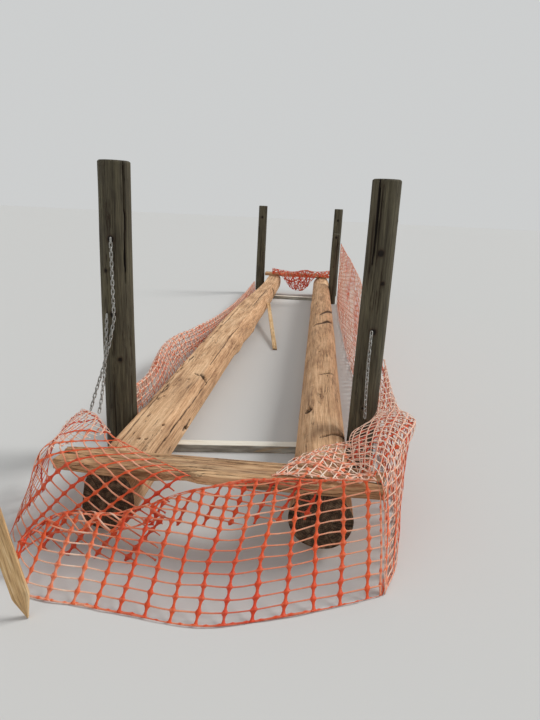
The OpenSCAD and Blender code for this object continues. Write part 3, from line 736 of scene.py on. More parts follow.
far_edges = (
    (lengthwise(half_far, (0,), (0.06, 0)), -half_deep + np.array([0, 0, 0.009])),
    (lengthwise(half_far, (0,), (0,)), (half_deep, half_deep)),
    ((-half_deep, half_deep), lengthwise(half_far, (0, 0))),
    ((-half_deep, -half_deep + 0.070, -half_deep + 0.078, -half_deep + 0.088, half_deep),
     lengthwise(half_far, (), (0, 0.006, 0.070, 0.004, 0))))
far_crevices = [
    (0.0040, 0.014, [(1.05, -0.020), (0.86, -0.014), (0.66, -0.022)]),
    (0.0035, 0.010, [(0, 0.030), (0.25, 0.024), (0.50, 0.032)])]
plank("far_board", "far_deck_board", far_edges, far_crevices, [(0.2, 0.06, 0.07, 0.02, 0.005)], 37)

# Handrail chains: short-link chain of 6 mm galvanised wire, once strung from post to post. They have
# been cut, and hang from the posts' holes down to the barrier mesh. The zinc has dulled to grey.
WIRE = 0.006
LINK_PITCH = 0.025
LINK_WIDTH = 0.020
LINK_PLAY = 0.0016
POST_FACE = 0.016
LINK_STEPS = 24
WIRE_SIDES = 9
LINK_TWIST = 6
ZINC_GREYS = ((0.22, 0.22, 0.21), (0.42, 0.42, 0.40), (0.66, 0.66, 0.62))
ZINC_DULL = (0.24, 0.22, 0.19)
RUST = (0.20, 0.090, 0.040)


def link_loop():
    """The rings of wire round one link, which stands upright along Z."""
    straight = LINK_PITCH + 2 * WIRE + LINK_PLAY - LINK_WIDTH
    bend = (LINK_WIDTH - WIRE) / 2
    turn = np.radians(np.arange(LINK_STEPS) + 0.5)[:, None] * 360 / LINK_STEPS
    round_wire = np.linspace(0, 2 * math.pi, WIRE_SIDES, endpoint=False)[None, :]
    reach = bend + WIRE / 2 * np.cos(round_wire)
    lift = np.where(turn < math.pi, 1, -1) * straight / 2
    flank = WIRE / 2 * np.sin(round_wire) + 0 * turn
    return np.stack([reach * np.cos(turn), flank, reach * np.sin(turn) + lift], -1)


def hang_chain(name, node, from_post, route, seed):
    """A chain's interlocked links, each a quarter turn from the last, along a route of points: how far
    right of the post's middle, how far behind the line of its front face, and how high."""
    post_x, _ = middle_of(from_post)
    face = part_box(from_post)[0].y - POST_FACE
    route = [Vector((post_x + x, face + y, z)) for x, y, z in route]
    lengths = [(b - a).length for a, b in zip(route, route[1:])]
    twist = np.random.default_rng(seed)
    loop = link_loop().reshape(-1, 3)
    around = np.arange(LINK_STEPS * WIRE_SIDES).reshape(LINK_STEPS, WIRE_SIDES)
    aside = np.roll(around, -1, 1)
    quads = np.stack([around, aside, np.roll(aside, -1, 0), np.roll(around, -1, 0)], -1).reshape(-1, 4)
    rows = []
    faces = []
    for number in range(int(sum(lengths) / LINK_PITCH)):
        along = (number + 0.5) * LINK_PITCH
        leg = 0
        while along > lengths[leg] and leg < len(lengths) - 1:
            along -= lengths[leg]
            leg += 1
        way = (route[leg + 1] - route[leg]).normalized()
        heading = math.atan2(way.y, way.x)
        turn = heading + math.radians(number % 2 * 90 + 45 + twist.uniform(-LINK_TWIST, LINK_TWIST))
        stand = (Matrix.Rotation(heading, 3, "Z") @ Matrix.Rotation(math.acos(way.z), 3, "Y")
                 @ Matrix.Rotation(turn, 3, "Z"))
        placed = loop @ np.array(stand).T + np.array(route[leg] + way * along)
        weathered = np.full((len(loop), 1), twist.uniform(0, 1))
        rows.append(np.concatenate([placed, loop + number, weathered], -1))
        faces.append(quads + number * len(loop))
    faces = np.concatenate(faces)
    piece = make_piece(name, np.concatenate(rows), faces, np.zeros(len(faces)), (chain_zinc,))
    fit(piece, node)


chain_zinc = new_finish("chain_zinc", {"Metallic": 0.75})
spangle = stretched(chain_zinc, 0.004, 0.004, 3)
put(chain_zinc, tint_by(chain_zinc, spangle, (0.35, 0.52, 0.68), ZINC_GREYS), "Base Color")
stain_where(chain_zinc, mark_of(chain_zinc, "hollow"), 0.3, 1.0, 0.45, ZINC_DULL)
blotch(chain_zinc, RUST, 0.012, 0.012, 4, 3.3, 0.60, 0.72, 0.7)
put(chain_zinc, fade(chain_zinc, spangle, 0.3, 0.7, 0.38, 0.62), "Roughness")
relief(chain_zinc, spangle, 0.0006)

hang_chain("left_rail_chain", "left_chain", "near_left_post", [
    (0.008, 0, UPPER_HOLE + 0.006), (0.012, 0, LOWER_HOLE - 0.020), (-0.008, -0.014, 0.740),
    (-0.046, -0.034, 0.590), (-0.088, -0.058, 0.445), (-0.115, -0.082, 0.335)], 41)
hang_chain("left_rail_chain_tail", "left_chain_tail", "near_left_post", [
    (-0.026, -0.006, LOWER_HOLE + 0.004), (-0.030, -0.022, 0.720), (-0.034, -0.052, 0.560),
    (-0.042, -0.092, 0.420), (-0.050, -0.126, 0.325)], 43)
hang_chain("right_rail_chain", "right_chain", "near_right_post", [
    (-0.010, 0, LOWER_HOLE + 0.006), (-0.012, -0.006, 0.700), (-0.010, -0.016, 0.560),
    (-0.004, -0.030, 0.400)], 47)

# Barrier mesh: orange safety fencing, extruded polyethylene sold 1 m high, with thick strands about
# 105 mm apart and thin ones every 46 mm. It is slung round the bridge, heaped over the near board,
# doubled down the left side and tied back to the right-hand posts. Its thin strands are paler, and
# each stretch is paled by a share that is partly sun bleaching and partly painted light: stretches
# that lay in sun are paler and more orange, those that lay in shade stay red.
STRAND_GAP = 0.105
ROW_GAP = 0.046
STRAND_WIDTH = 0.0095
ROW_WIDTH = 0.0058
HEM_WIDTH = 0.0080
HEM_STEP = 0.0125
HEM_INSET = 0.003
LUMP = 0.0140
LUMP_REACH = 0.0105
BARE_REACH = 0.022
PLASTIC = 0.0022
FOOT = 0.005
DRAPE_STEPS = 81
LONG_STRETCH = 3.0
STRAND_WANDER = 0.012
MESH_RED = (0.62, 0.040, 0.015)
MESH_ORANGE = (0.83, 0.134, 0.026)
MESH_FADED_AND_LIT = (0.80, 0.300, 0.130)
MESH_DUSTY_PINK = (0.66, 0.245, 0.135)
MESH_SALMON = (0.83, 0.425, 0.255)
MESH_CREAM = (0.93, 0.800, 0.650)
MESH_DUST = (0.40, 0.28, 0.19)
_, left_post_y = middle_of("near_left_post")
_, right_post_y = middle_of("near_right_post")
_, far_post_y = middle_of("far_left_post")
_, short_y = middle_of("short_right_post")
side_near = left_post_y + 0.210
side_far = far_post_y - 0.180


def side(*shares):
    """Places along the sides, as shares of the way from the near posts to the far ones."""
    return side_near + (side_far - side_near) * np.array(shares)


def ahead(*distances):
    """Places in front of the logs' near ends."""
    return log_near_y - np.array(distances)


def over(*heights):
    """Heights over the log tops."""
    return log_top + np.array(heights)


def rail(x, y, z):
    """A line that a net is drawn along, from its places across the bridge, along it and up."""
    return np.stack(np.broadcast_arrays(x, y, z), -1)


def drape(rails, bunched):
    """A curved stretch of mesh through rails: its width along the foot, how high it reaches at each
    place along it, and where each place on the flat mesh lies. A bunched one is that many times
    higher than it lies, and its strands draw together where the rails do."""
    rails = np.array(rails, float)
    tall, wide = rails.shape[:2]

    def spot(u, v):
        down = curve_weights(tall, v * (tall - 1))
        along = curve_weights(wide, u * (wide - 1))
        return np.einsum("nr,nc,rcd->nd", down, along, rails)

    steps = np.linspace(0, 1, DRAPE_STEPS)
    u, v = (sides.ravel() for sides in np.meshgrid(steps, steps, indexing="ij"))
    grid = spot(u, v).reshape(DRAPE_STEPS, DRAPE_STEPS, 3)
    along = np.linalg.norm(np.diff(grid, axis=0), axis=2).mean(1)
    reach_u = np.concatenate([[0], np.cumsum(along)])
    reach_v = np.cumsum(np.linalg.norm(np.diff(grid, axis=1), axis=2), axis=1)
    reach_v = np.concatenate([np.zeros((DRAPE_STEPS, 1)), reach_v], 1)

    def line_up(p):
        place = np.interp(p, reach_u, steps) * (DRAPE_STEPS - 1)
        low = np.minimum(place.astype(int), DRAPE_STEPS - 2)
        share = (place - low)[:, None]
        return reach_v[low] * (1 - share) + reach_v[low + 1] * share

    def height(p):
        if bunched:
            return np.full(len(p), bunched * reach_v[:, -1].max())
        return line_up(p)[:, -1]

    def lie(flat):
        u = np.interp(flat[:, 0], reach_u, steps)
        reached = line_up(flat[:, 0])
        q = np.clip(flat[:, 1] * reached[:, -1] / height(flat[:, 0]), 0, reached[:, -1])
        cell = np.clip((reached <= q[:, None]).sum(1) - 1, 0, DRAPE_STEPS - 2)
        row = np.arange(len(q))
        gap = np.maximum(reached[row, cell + 1] - reached[row, cell], 1e-9)
        v = (cell + (q - reached[row, cell]) / gap) / (DRAPE_STEPS - 1)
        nudge = 0.004
        right = spot(np.minimum(u + nudge, 1), v) - spot(np.maximum(u - nudge, 0), v)
        up = spot(u, np.minimum(v + nudge, 1)) - spot(u, np.maximum(v - nudge, 0))
        out = np.cross(right, up)
        return spot(u, v), out / np.maximum(np.linalg.norm(out, axis=1, keepdims=True), 1e-9)

    return reach_u[-1], height, lie


def inside_span(start, way, width, height):
    """The stretch of a line that lies on a flat mesh of this size."""
    low, high = -1e9, 1e9
    for place, step, limit in zip(start, way, (width, height)):
        if abs(step) > 1e-9:
            ends = sorted((-place / step, (limit - place) / step))
            low, high = max(low, ends[0]), min(high, ends[1])
        elif not -1e-6 <= place <= limit + 1e-6:
            return 0, -1
    return low, high


def lay_strands(width, height, slant, hemmed):
    """Every strand of a flat stretch: its places, its half widths, how bare of lumps each place is,
    and whether the strand is a thin one."""
    thick_way = np.array([math.sin(slant), math.cos(slant)])
    thin_way = np.array([math.cos(slant), -math.sin(slant)])
    origin = np.array([0.02, 0.0])
    tallest = height(np.linspace(0, width, DRAPE_STEPS)).max()
    reach = width + tallest
    strands = []
    thick_stops, thin_stops = (0, 0.12, 0.26, 0.5, 0.74, 0.88), (0, 0.07, 0.15, 0.5, 0.85, 0.93)
    if width > LONG_STRETCH:
        thick_stops, thin_stops = (0, 0.23, 0.5, 0.77), (0, 0.10, 0.5, 0.90)
    kinds = [(thick_way, thin_way, STRAND_GAP, ROW_GAP, thick_stops, STRAND_WIDTH, 0),
             (thin_way, thick_way, ROW_GAP, STRAND_GAP, thin_stops, ROW_WIDTH, 1)]
    for way, aside, gap, node_gap, stops, thin_width, is_thin in kinds:
        for number in range(-int(reach / gap) - 1, int(reach / gap) + 2):
            start = origin + aside * number * gap
            low, high = inside_span(start, way, width, tallest)
            if high - low < 0.02:
                continue
            first, last = int(math.floor(low / node_gap)), int(math.ceil(high / node_gap))
            t = (np.arange(first, last + 1)[:, None] + np.array(stops)).ravel() * node_gap
            t = np.concatenate([[low], t[(t > low + 0.003) & (t < high - 0.003)], [high]])
            off_node = np.abs(t / node_gap - np.round(t / node_gap)) * node_gap
            lump = np.clip(1.4 - off_node / LUMP_REACH, 0, 1)
            half = (thin_width + LUMP * lump * (0.55 if is_thin else 1)) / 2
            bare = np.clip(off_node / BARE_REACH, 0, 1)
            places = start + t[:, None] * way
            on_mesh = places[:, 1] <= height(places[:, 0]) + 0.004
            for run in np.split(np.arange(len(t)), np.flatnonzero(np.diff(on_mesh)) + 1):
                if on_mesh[run[0]] and len(run) > 1:
                    strands.append((places[run], half[run], bare[run], is_thin))
    along = np.arange(0, width, HEM_STEP)
    up_start = np.arange(0, height(np.zeros(1))[0], HEM_STEP)
    up_end = np.arange(0, height(np.full(1, width))[0], HEM_STEP)
    hems = {"top": (along, height(along) - HEM_INSET), "foot": (along, along * 0 + HEM_INSET),
            "start": (up_start * 0 + HEM_INSET, up_start), "end": (up_end * 0 + width - HEM_INSET, up_end)}
    for edge, hem in hems.items():
        run = np.arange(len(hem[0]))
        if edge in hemmed and len(run) > 2:
            half = (HEM_WIDTH + LUMP * 0.4 * (run % 4 == 0)) / 2
            strands.append((np.stack(hem, 1), half, 0.55 * (run % 4 != 0), 1))
    return strands


def stretch_of_mesh(rails, slant, crumple, fade_and_light, seed, lift=0.0, hemmed="top foot start end", bunched=0):
    """The rows and faces of one stretch of open mesh through rails. Its strands are turned by slant, it
    is crumpled, lifted and paled by a share from 0 to 1, partly sun bleaching and partly painted light,
    and the edges that hemmed names have hems."""
    width, height, lie = drape(rails, bunched)
    strands = lay_strands(width, height, slant, hemmed)
    flat = np.concatenate([strand[0] for strand in strands])
    ways = np.concatenate([np.gradient(strand[0], axis=0) for strand in strands])
    ways = ways / np.maximum(np.linalg.norm(ways, axis=1, keepdims=True), 1e-9)
    across = np.stack([-ways[:, 1], ways[:, 0]], 1)
    half = np.concatenate([strand[1] for strand in strands])[:, None]
    bare = np.concatenate([strand[2] for strand in strands])
    is_thin = np.concatenate([np.full(len(strand[0]), strand[3]) for strand in strands])

    def place(spots):
        deep = np.concatenate([spots, np.full((len(spots), 1), seed * 3.1)], 1)
        pull = np.stack([lumps(deep, 0.16, seed), lumps(deep, 0.16, seed + 9)], 1) * STRAND_WANDER
        held = np.clip(spots + pull, 0, (width, 9))
        points, out = lie(held)
        wave = lumps(deep, 0.20, seed + 4) + 0.6 * lumps(deep, 0.07, seed + 5)
        return points + out * (crumple * wave + lift)[:, None], out

    one, out = place(flat - across * half)
    other, _ = place(flat + across * half)
    rim = out * PLASTIC / 2
    corners = np.stack([one + rim, other + rim, other - rim, one - rim], 1)
    corners[..., 2] = np.maximum(corners[..., 2], 0.001)
    # Bleaching and painted light: the stretch's share, random patches, and a paler tone where the sheet lies
    # flat.
    faded_and_lit = np.clip(fade_and_light + 0.55 * lumps(one, 0.30, seed + 6) + 0.15 * np.abs(out[:, 2]), 0, 1)
    thin = bare * np.maximum(is_thin, np.clip(faded_and_lit * 1.7 - 0.85, 0, 0.8))
    if bunched:
        thin = np.maximum(thin, np.clip(faded_and_lit * 2 - 1.4, 0, 0.5))
    grain = np.stack([flat[:, 0], flat[:, 1], faded_and_lit], 1)
    rows = np.concatenate([corners, np.repeat(grain[:, None], 4, 1), np.repeat(thin[:, None, None], 4, 1)], 2)
    faces = []
    first = 0
    for places, *_ in strands:
        rings = (first + np.arange(len(places)))[:, None] * 4 + np.arange(4)
        aside = np.roll(rings, -1, 1)
        faces.append(np.stack([rings[:-1], aside[:-1], aside[1:], rings[1:]], -1).reshape(-1, 4))
        faces.append(rings[0][None, ::-1])
        faces.append(rings[-1][None])
        first += len(places)
    covered = height(np.linspace(0, width, DRAPE_STEPS)).mean()
    return rows.reshape(-1, 7), np.concatenate(faces), width, covered


def sling_mesh(name, node, layers):
    """Each layer is what stretch_of_mesh takes."""
    rows, faces, length, covered, count = [], [], 0.0, 0.0, 0
    for layer in layers:
        more_rows, more_faces, wide, tall = stretch_of_mesh(*layer)
        rows.append(more_rows)
        faces.append(more_faces + count)
        count += len(more_rows)
        length += wide
        covered += wide * tall
    faces = np.concatenate(faces)
    piece = make_piece(name, np.concatenate(rows), faces, np.zeros(len(faces)), (mesh_plastic,))
    fit(piece, node)


mesh_plastic = new_finish("mesh_plastic", {"Specular IOR Level": 0.30})
thinness = mark_of(mesh_plastic, "hollow")
# This mark is partly sun bleaching and partly painted light: it turns strands orange, salmon and cream where
# the mesh lay in sun.
bleach_and_light = add_node(mesh_plastic, "SeparateXYZ", {0: mark_of(mesh_plastic, "grain", "Vector")}, "Z")
drawn = stretched(mesh_plastic, 0.010, 0.010, 4, 2.0)
blush = calc(mesh_plastic, "MULTIPLY_ADD", drawn, 0.5, calc(mesh_plastic, "MULTIPLY", bleach_and_light, 0.55))
put(mesh_plastic, tint_by(mesh_plastic, blush, (0.25, 0.72), (MESH_RED, MESH_ORANGE)), "Base Color")
stain_where(mesh_plastic, bleach_and_light, 0.5, 1.0, 0.30, MESH_FADED_AND_LIT)
pale = calc(mesh_plastic, "MULTIPLY", thinness, fade(mesh_plastic, bleach_and_light, 0.0, 0.8, 0.46, 0.97))
bleached_and_lit = calc(mesh_plastic, "MULTIPLY_ADD", drawn, 0.3, calc(mesh_plastic, "MULTIPLY", bleach_and_light, 0.85))
stain(mesh_plastic, pale, tint_by(mesh_plastic, bleached_and_lit, (0.25, 0.55, 0.85),
                                  (MESH_DUSTY_PINK, MESH_SALMON, MESH_CREAM)))
blotch(mesh_plastic, MESH_DUST, 0.05, 0.05, 5, 7.0, 0.58, 0.74, 0.22)
put(mesh_plastic, fade(mesh_plastic, drawn, 0.3, 0.7, 0.42, 0.62), "Roughness")
relief(mesh_plastic, drawn, 0.0006)

left_corner = [
    rail((-1.000, -0.985, -0.925, -0.600, -0.250), ahead(-0.350, -0.075, 0.100, 0.165, 0.160), FOOT),
    rail((-0.985, -0.950, -0.872, -0.570, -0.230), ahead(-0.410, -0.200, 0.030, 0.110, 0.100), 0.190),
    rail((-0.930, -0.868, -0.812, -0.470, -0.170), ahead(-0.500, -0.280, -0.035, 0.056, 0.060),
         over(0.015, 0.045, 0.064, 0.064, 0.040)),
    rail((-0.880, -0.745, -0.590, -0.350, -0.130), ahead(-0.590, -0.440, -0.250, -0.085, 0.036),
         over(0.055, 0.095, 0.084, 0.074, 0.052))]
sling_mesh("mesh_left_corner", "net_left_corner",
           [(left_corner, math.radians(30), 0.006, 0.25, 51, 0.0, "top start"),
            ([line[:3] for line in left_corner[2:]], -0.7, 0.006, 1.0, 52, 0.009, "top", 1.8)])

front = [
    rail((-0.800, -0.700, -0.450, -0.240, -0.030, 0.140, 0.430, 0.700),
         ahead(0.310, 0.420, 0.448, 0.470, 0.490, 0.460, 0.350, 0.220), FOOT),
    rail((-0.798, -0.695, -0.448, -0.230, -0.010, 0.160, 0.430, 0.692),
         ahead(0.306, 0.320, 0.330, 0.340, 0.320, 0.290, 0.200, 0.130),
         (0.050, 0.075, 0.090, 0.110, 0.150, 0.170, 0.190, 0.200)),
    rail((-0.790, -0.690, -0.445, -0.215, 0.010, 0.185, 0.430, 0.680),
         ahead(0.302, 0.230, 0.220, 0.215, 0.170, 0.145, 0.090, 0.065),
         (0.100, 0.150, 0.165, 0.215, 0.265, 0.300, 0.330, 0.350)),
    rail((-0.780, -0.680, -0.440, -0.205, 0.030, 0.205, 0.430, 0.662),
         ahead(0.298, 0.165, 0.150, 0.112, 0.066, 0.044, 0.030, 0.030),
         (0.150, 0.205, 0.225, 0.300, *over(0.055, 0.080, 0.085, 0.100)))]
flap = [
    rail((-0.285, -0.100, 0.140, 0.400), ahead(0.170, 0.150, 0.125, 0.080), (0.195, 0.200, 0.215, 0.235)),
    rail((-0.275, -0.090, 0.150, 0.410), ahead(0.140, 0.110, 0.085, 0.050), (0.248, 0.290, 0.310, 0.320)),
    rail((-0.255, -0.080, 0.160, 0.420), ahead(0.118, 0.088, 0.054, 0.032),
         (0.285, 0.345, *over(0.066, 0.072)))]
gather = [
    rail((-0.790, -0.680, -0.440, -0.205), ahead(0.306, 0.215, 0.200, 0.165), (0.085, 0.140, 0.160, 0.235)),
    rail((-0.782, -0.680, -0.440, -0.205), ahead(0.304, 0.172, 0.158, 0.120), (0.150, 0.205, 0.226, 0.302)),
    rail((-0.770, -0.670, -0.440, -0.205), ahead(0.270, 0.125, 0.110, 0.080), (0.130, 0.180, 0.200, 0.275))]
sling_mesh("mesh_front", "net_front",
           [(front, 0.0, 0.006, 0.22, 53), (flap, 0.24, 0.009, 0.12, 55, 0.0, "top"),
            (gather, 0.70, 0.011, 0.3, 56, 0.004, "top foot")])


def round_post(away, before, past):
    """Places along the right corner: in front of the logs' ends, before its post, and past the post."""
    return (*ahead(*away), right_post_y - before, side_near + past)


right_corner = [
    rail((0.712, 0.790, 0.838, 0.848, 0.832), round_post((0.218, -0.010, -0.360), 0.100, 0.050), FOOT),
    rail((0.703, 0.792, 0.846, 0.852, 0.814), round_post((0.128, -0.090, -0.420), 0.070, 0.050),
         (0.200, 0.240, 0.250, 0.220, 0.300)),
    rail((0.691, 0.775, 0.870, 0.848, 0.798), round_post((0.060, -0.120, -0.450), 0.055, 0.050),
         over(0.040, 0.115, 0.125, 0.075, 0.185)),
    rail((0.674, 0.762, 0.878, 0.835, 0.790), round_post((0.026, -0.170, -0.455), 0.040, 0.050),
         over(0.105, 0.170, 0.193, 0.160, 0.315)),
    rail((0.630, 0.685, 0.745, 0.795, 0.793), round_post((-0.020, -0.215, -0.465), 0.090, 0.020),
         over(0.110, 0.170, 0.195, 0.175, 0.315)),
    rail((0.590, 0.570, 0.580, 0.720, 0.792), round_post((-0.070, -0.250, -0.430), 0.150, -0.010),
         over(0.078, 0.088, 0.105, 0.140, 0.310))]
sling_mesh("mesh_right_corner", "net_right_corner",
           [(right_corner[:4], 0.06, 0.005, 0.50, 57, 0.0, "foot start"),
            (right_corner[:3], -0.30, 0.006, 0.60, 59, -0.010, "foot"),
            (right_corner[2:], math.radians(96), 0.004, 1.0, 58, 0.004, "top", 2.4),
            (right_corner[3:], math.radians(118), 0.006, 0.2, 60, -0.018, "end", 1.2)])

board_fold = [
    rail((0.215, 0.350, 0.500, 0.660), ahead(0.024, 0.020, 0.020, 0.016),
         over(0.072, 0.080, 0.072, 0.086)),
    rail((0.260, 0.380, 0.510, 0.664), ahead(-0.070, -0.090, -0.090, -0.095),
         over(0.070, 0.096, 0.074, 0.092)),
    rail((0.300, 0.400, 0.510, 0.660), ahead(-0.150, -0.240, -0.320, -0.300),
         over(0.066, 0.066, 0.060, 0.080)),
    rail((0.330, 0.420, 0.500, 0.654), ahead(-0.180, -0.350, -0.410, -0.440),
         over(0.060, 0.042, 0.044, 0.080))]
sling_mesh("mesh_over_board", "net_board_fold",
           [(board_fold, 0.35, 0.008, 0.75, 61, 0.0, "start"),
            (board_fold, 1.15, 0.010, 0.9, 63, 0.006, "top"),
            (board_fold, 1.75, 0.010, 0.8, 64, 0.012, "foot")])

left_stops = side(0, 0.09, 0.23, 0.33, 0.44, 0.63, 0.81, 1)
left_side = [
    rail((-0.880, -0.930, -1.035, -0.940, -0.850, -0.820, -0.790, -0.760), left_stops, FOOT),
    rail((-0.840, -0.880, -1.000, -0.890, -0.800, -0.778, -0.750, -0.735), left_stops,
         (0.180, 0.170, 0.175, 0.170, 0.155, 0.125, 0.122, 0.130)),
    rail((-0.782, -0.805, -0.915, -0.815, -0.728, -0.708, -0.690, -0.700), left_stops,
         (0.345, 0.305, 0.308, 0.300, 0.280, 0.228, 0.222, 0.230)),
    rail((-0.748, -0.760, -0.840, -0.765, -0.690, -0.672, -0.650, -0.685), left_stops,
         (0.180, 0.160, 0.165, 0.160, 0.145, 0.120, 0.118, 0.130)),
    rail((-0.735, -0.730, -0.780, -0.735, -0.684, -0.662, -0.640, -0.680), left_stops, FOOT)]
sling_mesh("mesh_left_side", "net_left_side",
           [(left_side, 0.04, 0.006, 0.95, 65),
            (left_side, math.radians(92), 0.006, 0.78, 66, 0.010, "top", 1.42)])

right_stops = (*side(0.015, 0.16, 0.3, 0.48, 0.71), short_y - 0.030)
right_side = [
    rail((0.832, 0.792, 0.748, 0.716, 0.702, 0.712), right_stops, FOOT),
    rail((0.806, 0.780, 0.758, 0.728, 0.708, 0.704), right_stops, (0.320, 0.370, 0.430, 0.460, 0.470, 0.480)),
    rail((0.780, 0.770, 0.757, 0.736, 0.718, 0.696), right_stops, (0.640, 0.745, 0.850, 0.910, 0.930, 0.965))]
sling_mesh("mesh_right_side", "net_right_side",
           [(right_side, 0.12, 0.006, 0.85, 67), (right_side, -0.34, 0.006, 0.8, 68, 0.006, "top")])

far_front = log_far_y - 0.300
far_end = [
    rail((-0.405, -0.240, -0.060, 0.160, 0.330, 0.590),
         far_front + np.array([0, -0.030, -0.050, -0.050, -0.020, 0]),
         (*over(0.045, 0.015), 0.130, 0.120, *over(0.015, 0.015))),
    rail((-0.408, -0.240, -0.060, 0.160, 0.330, 0.590),
         far_front + np.array([0.020, 0.010, 0, -0.010, 0.010, 0.020]),
         over(0.065, 0.060, -0.015, -0.015, 0.055, 0.065)),
    rail((-0.410, -0.240, -0.060, 0.160, 0.330, 0.590),
         far_front + np.array([0.080, 0.075, 0.070, 0.070, 0.080, 0.080]),
         over(0.125, 0.095, 0.085, 0.125, 0.095, 0.135))]
sling_mesh("mesh_far_end", "net_far_end",
           [(far_end, 0.25, 0.008, 0.10, 69, 0.0, "top"), (far_end, 0.95, 0.010, 0.15, 71, 0.010, "start"),
            (far_end, -0.6, 0.010, 0.05, 72, 0.016, "end"), (far_end, 0.60, 0.012, 0.20, 74, 0.022, "top"),
            (far_end, -0.2, 0.012, 0.10, 75, 0.005, "end")])

# Stakes: two sawn pine battens from the mesh's fencing. One was driven in at the near left and leans
# out. The thin one has fallen from the deck, its foot on the ground and its top against the left log.
FRONT_STAKE = (1.200, 0.060, 0.022)
FRONT_STAKE_POINT = 0.090
FRONT_STAKE_X = -0.628
FRONT_STAKE_AHEAD = 0.512
FRONT_STAKE_LEAN = -13
FRONT_STAKE_TURN = 18
MID_STAKE = (1.680, 0.045, 0.020)
MID_STAKE_TOP = Vector((-0.272, 4.140, 0.200))
MID_STAKE_TURN = 8
STAKE_ARRIS = 0.003
STAKE_PINE = ((0.36, 0.205, 0.090), (0.68, 0.440, 0.210), (0.86, 0.650, 0.380))
STAKE_END = ((0.26, 0.17, 0.09), (0.48, 0.34, 0.19), (0.66, 0.50, 0.31))
HANDLED_PINE = (0.24, 0.165, 0.095)


def turned_by(degrees, axis):
    """A turn about an axis."""
    return Matrix.Rotation(math.radians(degrees), 4, axis)


def batten(name, node, size, stand, seed, point=0.0):
    """A sawn batten along its own X axis, with worn arrises and a pointed foot, set up by stand."""
    length, width, thickness = size
    low = (0.0, -width / 2, 0.0)
    high = (length, width / 2, thickness)

    def shape(block):
        worn = rounded(block, low, high, STAKE_ARRIS)
        if point:
            worn[..., 1] *= np.clip(block[..., 0] / point, 0.04, 1)
        worn[..., 1] += 0.0010 * lumps(block, (0.25, 0.05, 0.05), seed)
        worn[..., 2] += 0.0006 * lumps(block, (0.20, 0.03, 0.03), seed + 1)
        return timber_rows(block, worn, stand, 0.03, seed)

    spans = [stations(*span) for span in zip(low, high, (0.015, 0.007, 0.007))]
    fit(block_skin(name, spans, shape, (stake_pine, stake_end)), node)


stake_pine = wood_finish("stake_pine", STAKE_PINE, fibre=0.0018, band=0.009, check_gap=0.02, checked=0.1,
                         roughness=0.7)
blotch(stake_pine, HANDLED_PINE, 0.03, 0.12, 5, 17.0, 0.56, 0.72, 0.5)
stake_end = end_grain_finish("stake_end", STAKE_END, 0.004)
upright = Matrix(((0, 1, 0, 0), (0, 0, 1, 0), (1, 0, 0, 0), (0, 0, 0, 1)))
front_stake_stand = (Matrix.Translation((FRONT_STAKE_X, log_near_y - FRONT_STAKE_AHEAD, 0))
                     @ turned_by(FRONT_STAKE_LEAN, "Y") @ turned_by(FRONT_STAKE_TURN, "Z")
                     @ Matrix.Translation((0, -FRONT_STAKE[2], 0)) @ upright)
batten("front_batten", "front_stake", FRONT_STAKE, front_stake_stand, 73, FRONT_STAKE_POINT)
mid_stake_rise = math.asin(MID_STAKE_TOP.z / MID_STAKE[0])
mid_stake_stand = (Matrix.Translation(MID_STAKE_TOP) @ turned_by(MID_STAKE_TURN, "Z")
                   @ Matrix.Rotation(mid_stake_rise, 4, "X") @ turned_by(-90, "Z"))
batten("fallen_batten", "mid_stake", MID_STAKE, mid_stake_stand, 79)

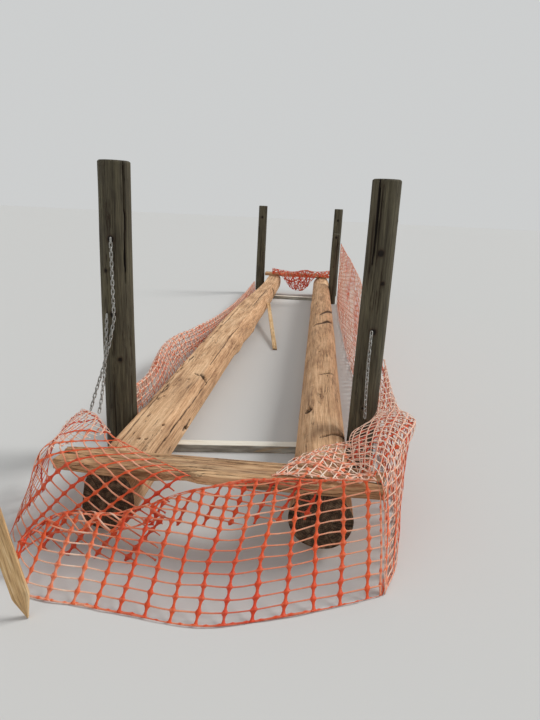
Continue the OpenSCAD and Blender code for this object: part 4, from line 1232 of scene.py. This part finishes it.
# Camera, floor and light: the camera stands where the photograph was taken, in front of the near end
# and a little right of the middle, at eye height. The floor and the room are plain and pale.
CAMERA_AT = (0.35, -3.12, 1.505)
CAMERA_YAW = 4.46
CAMERA_PITCH = 16.05
CAMERA_ROLL = 2.62
photo_camera = bpy.data.cameras.new("photo_camera")
photo_camera.lens = 27.05
photo_camera.sensor_width = 36
camera = add_object("photo_camera", photo_camera)
camera.matrix_world = (Matrix.Translation(CAMERA_AT) @ turned_by(CAMERA_YAW, "Z")
                       @ turned_by(90 - CAMERA_PITCH, "X") @ turned_by(CAMERA_ROLL, "Z"))
bpy.context.scene.camera = camera

FLOOR_REACH = 60
FLOOR_PAINT = {"Base Color": (0.62, 0.62, 0.60, 1), "Roughness": 0.95, "Specular IOR Level": 0.1}
floor_sheet = bpy.data.meshes.new("floor")
floor_corners = [(x * FLOOR_REACH, y * FLOOR_REACH, 0) for x, y in ((-1, -1), (1, -1), (1, 1), (-1, 1))]
floor_sheet.from_pydata(floor_corners, [], [(0, 1, 2, 3)])
floor_sheet.materials.append(new_finish("floor_paint", FLOOR_PAINT))
add_object("floor", floor_sheet)

ROOM_GREY = (0.80, 0.81, 0.83)
ROOM_LIGHT = 0.54
BACKDROP = (0.61, 0.62, 0.62)
studio = bpy.data.worlds.new("studio")
bpy.context.scene.world = studio
studio.use_nodes = True
room = studio.node_tree.nodes["Background"]
room.inputs["Color"].default_value = (*ROOM_GREY, 1)
room.inputs["Strength"].default_value = ROOM_LIGHT
backdrop = add_node(studio, "Background", {"Color": (*BACKDROP, 1)})
rays = add_node(studio, "LightPath", {}).node.outputs
seen = calc(studio, "MAXIMUM", rays["Is Camera Ray"], rays["Is Glossy Ray"])
seen = calc(studio, "MAXIMUM", seen, rays["Is Transmission Ray"])
shown = add_node(studio, "MixShader", {0: seen, 1: room.outputs[0], 2: backdrop})
studio.node_tree.links.new(shown, studio.node_tree.nodes["World Output"].inputs["Surface"])


def soft_sun(name, place, aim, spread, strength):
    """An even lamp that shines from a place towards aim, as softly as its spread in degrees."""
    lamp = bpy.data.lights.new(name, "SUN")
    lamp.angle = math.radians(spread)
    lamp.energy = strength
    stand = add_object(name, lamp)
    stand.rotation_euler = (Vector(aim) - Vector(place)).to_track_quat("-Z", "Y").to_euler()
    stand.location = place


soft_sun("key_light", (6.0, 4.6, 5.8), (0, 2.0, 0.2), 24, 2.15)
soft_sun("fill_light", (-3.0, -6.0, 5.0), (0, 1.5, 0.3), 60, 0.50)
bpy.context.scene.view_settings.view_transform = "Standard"
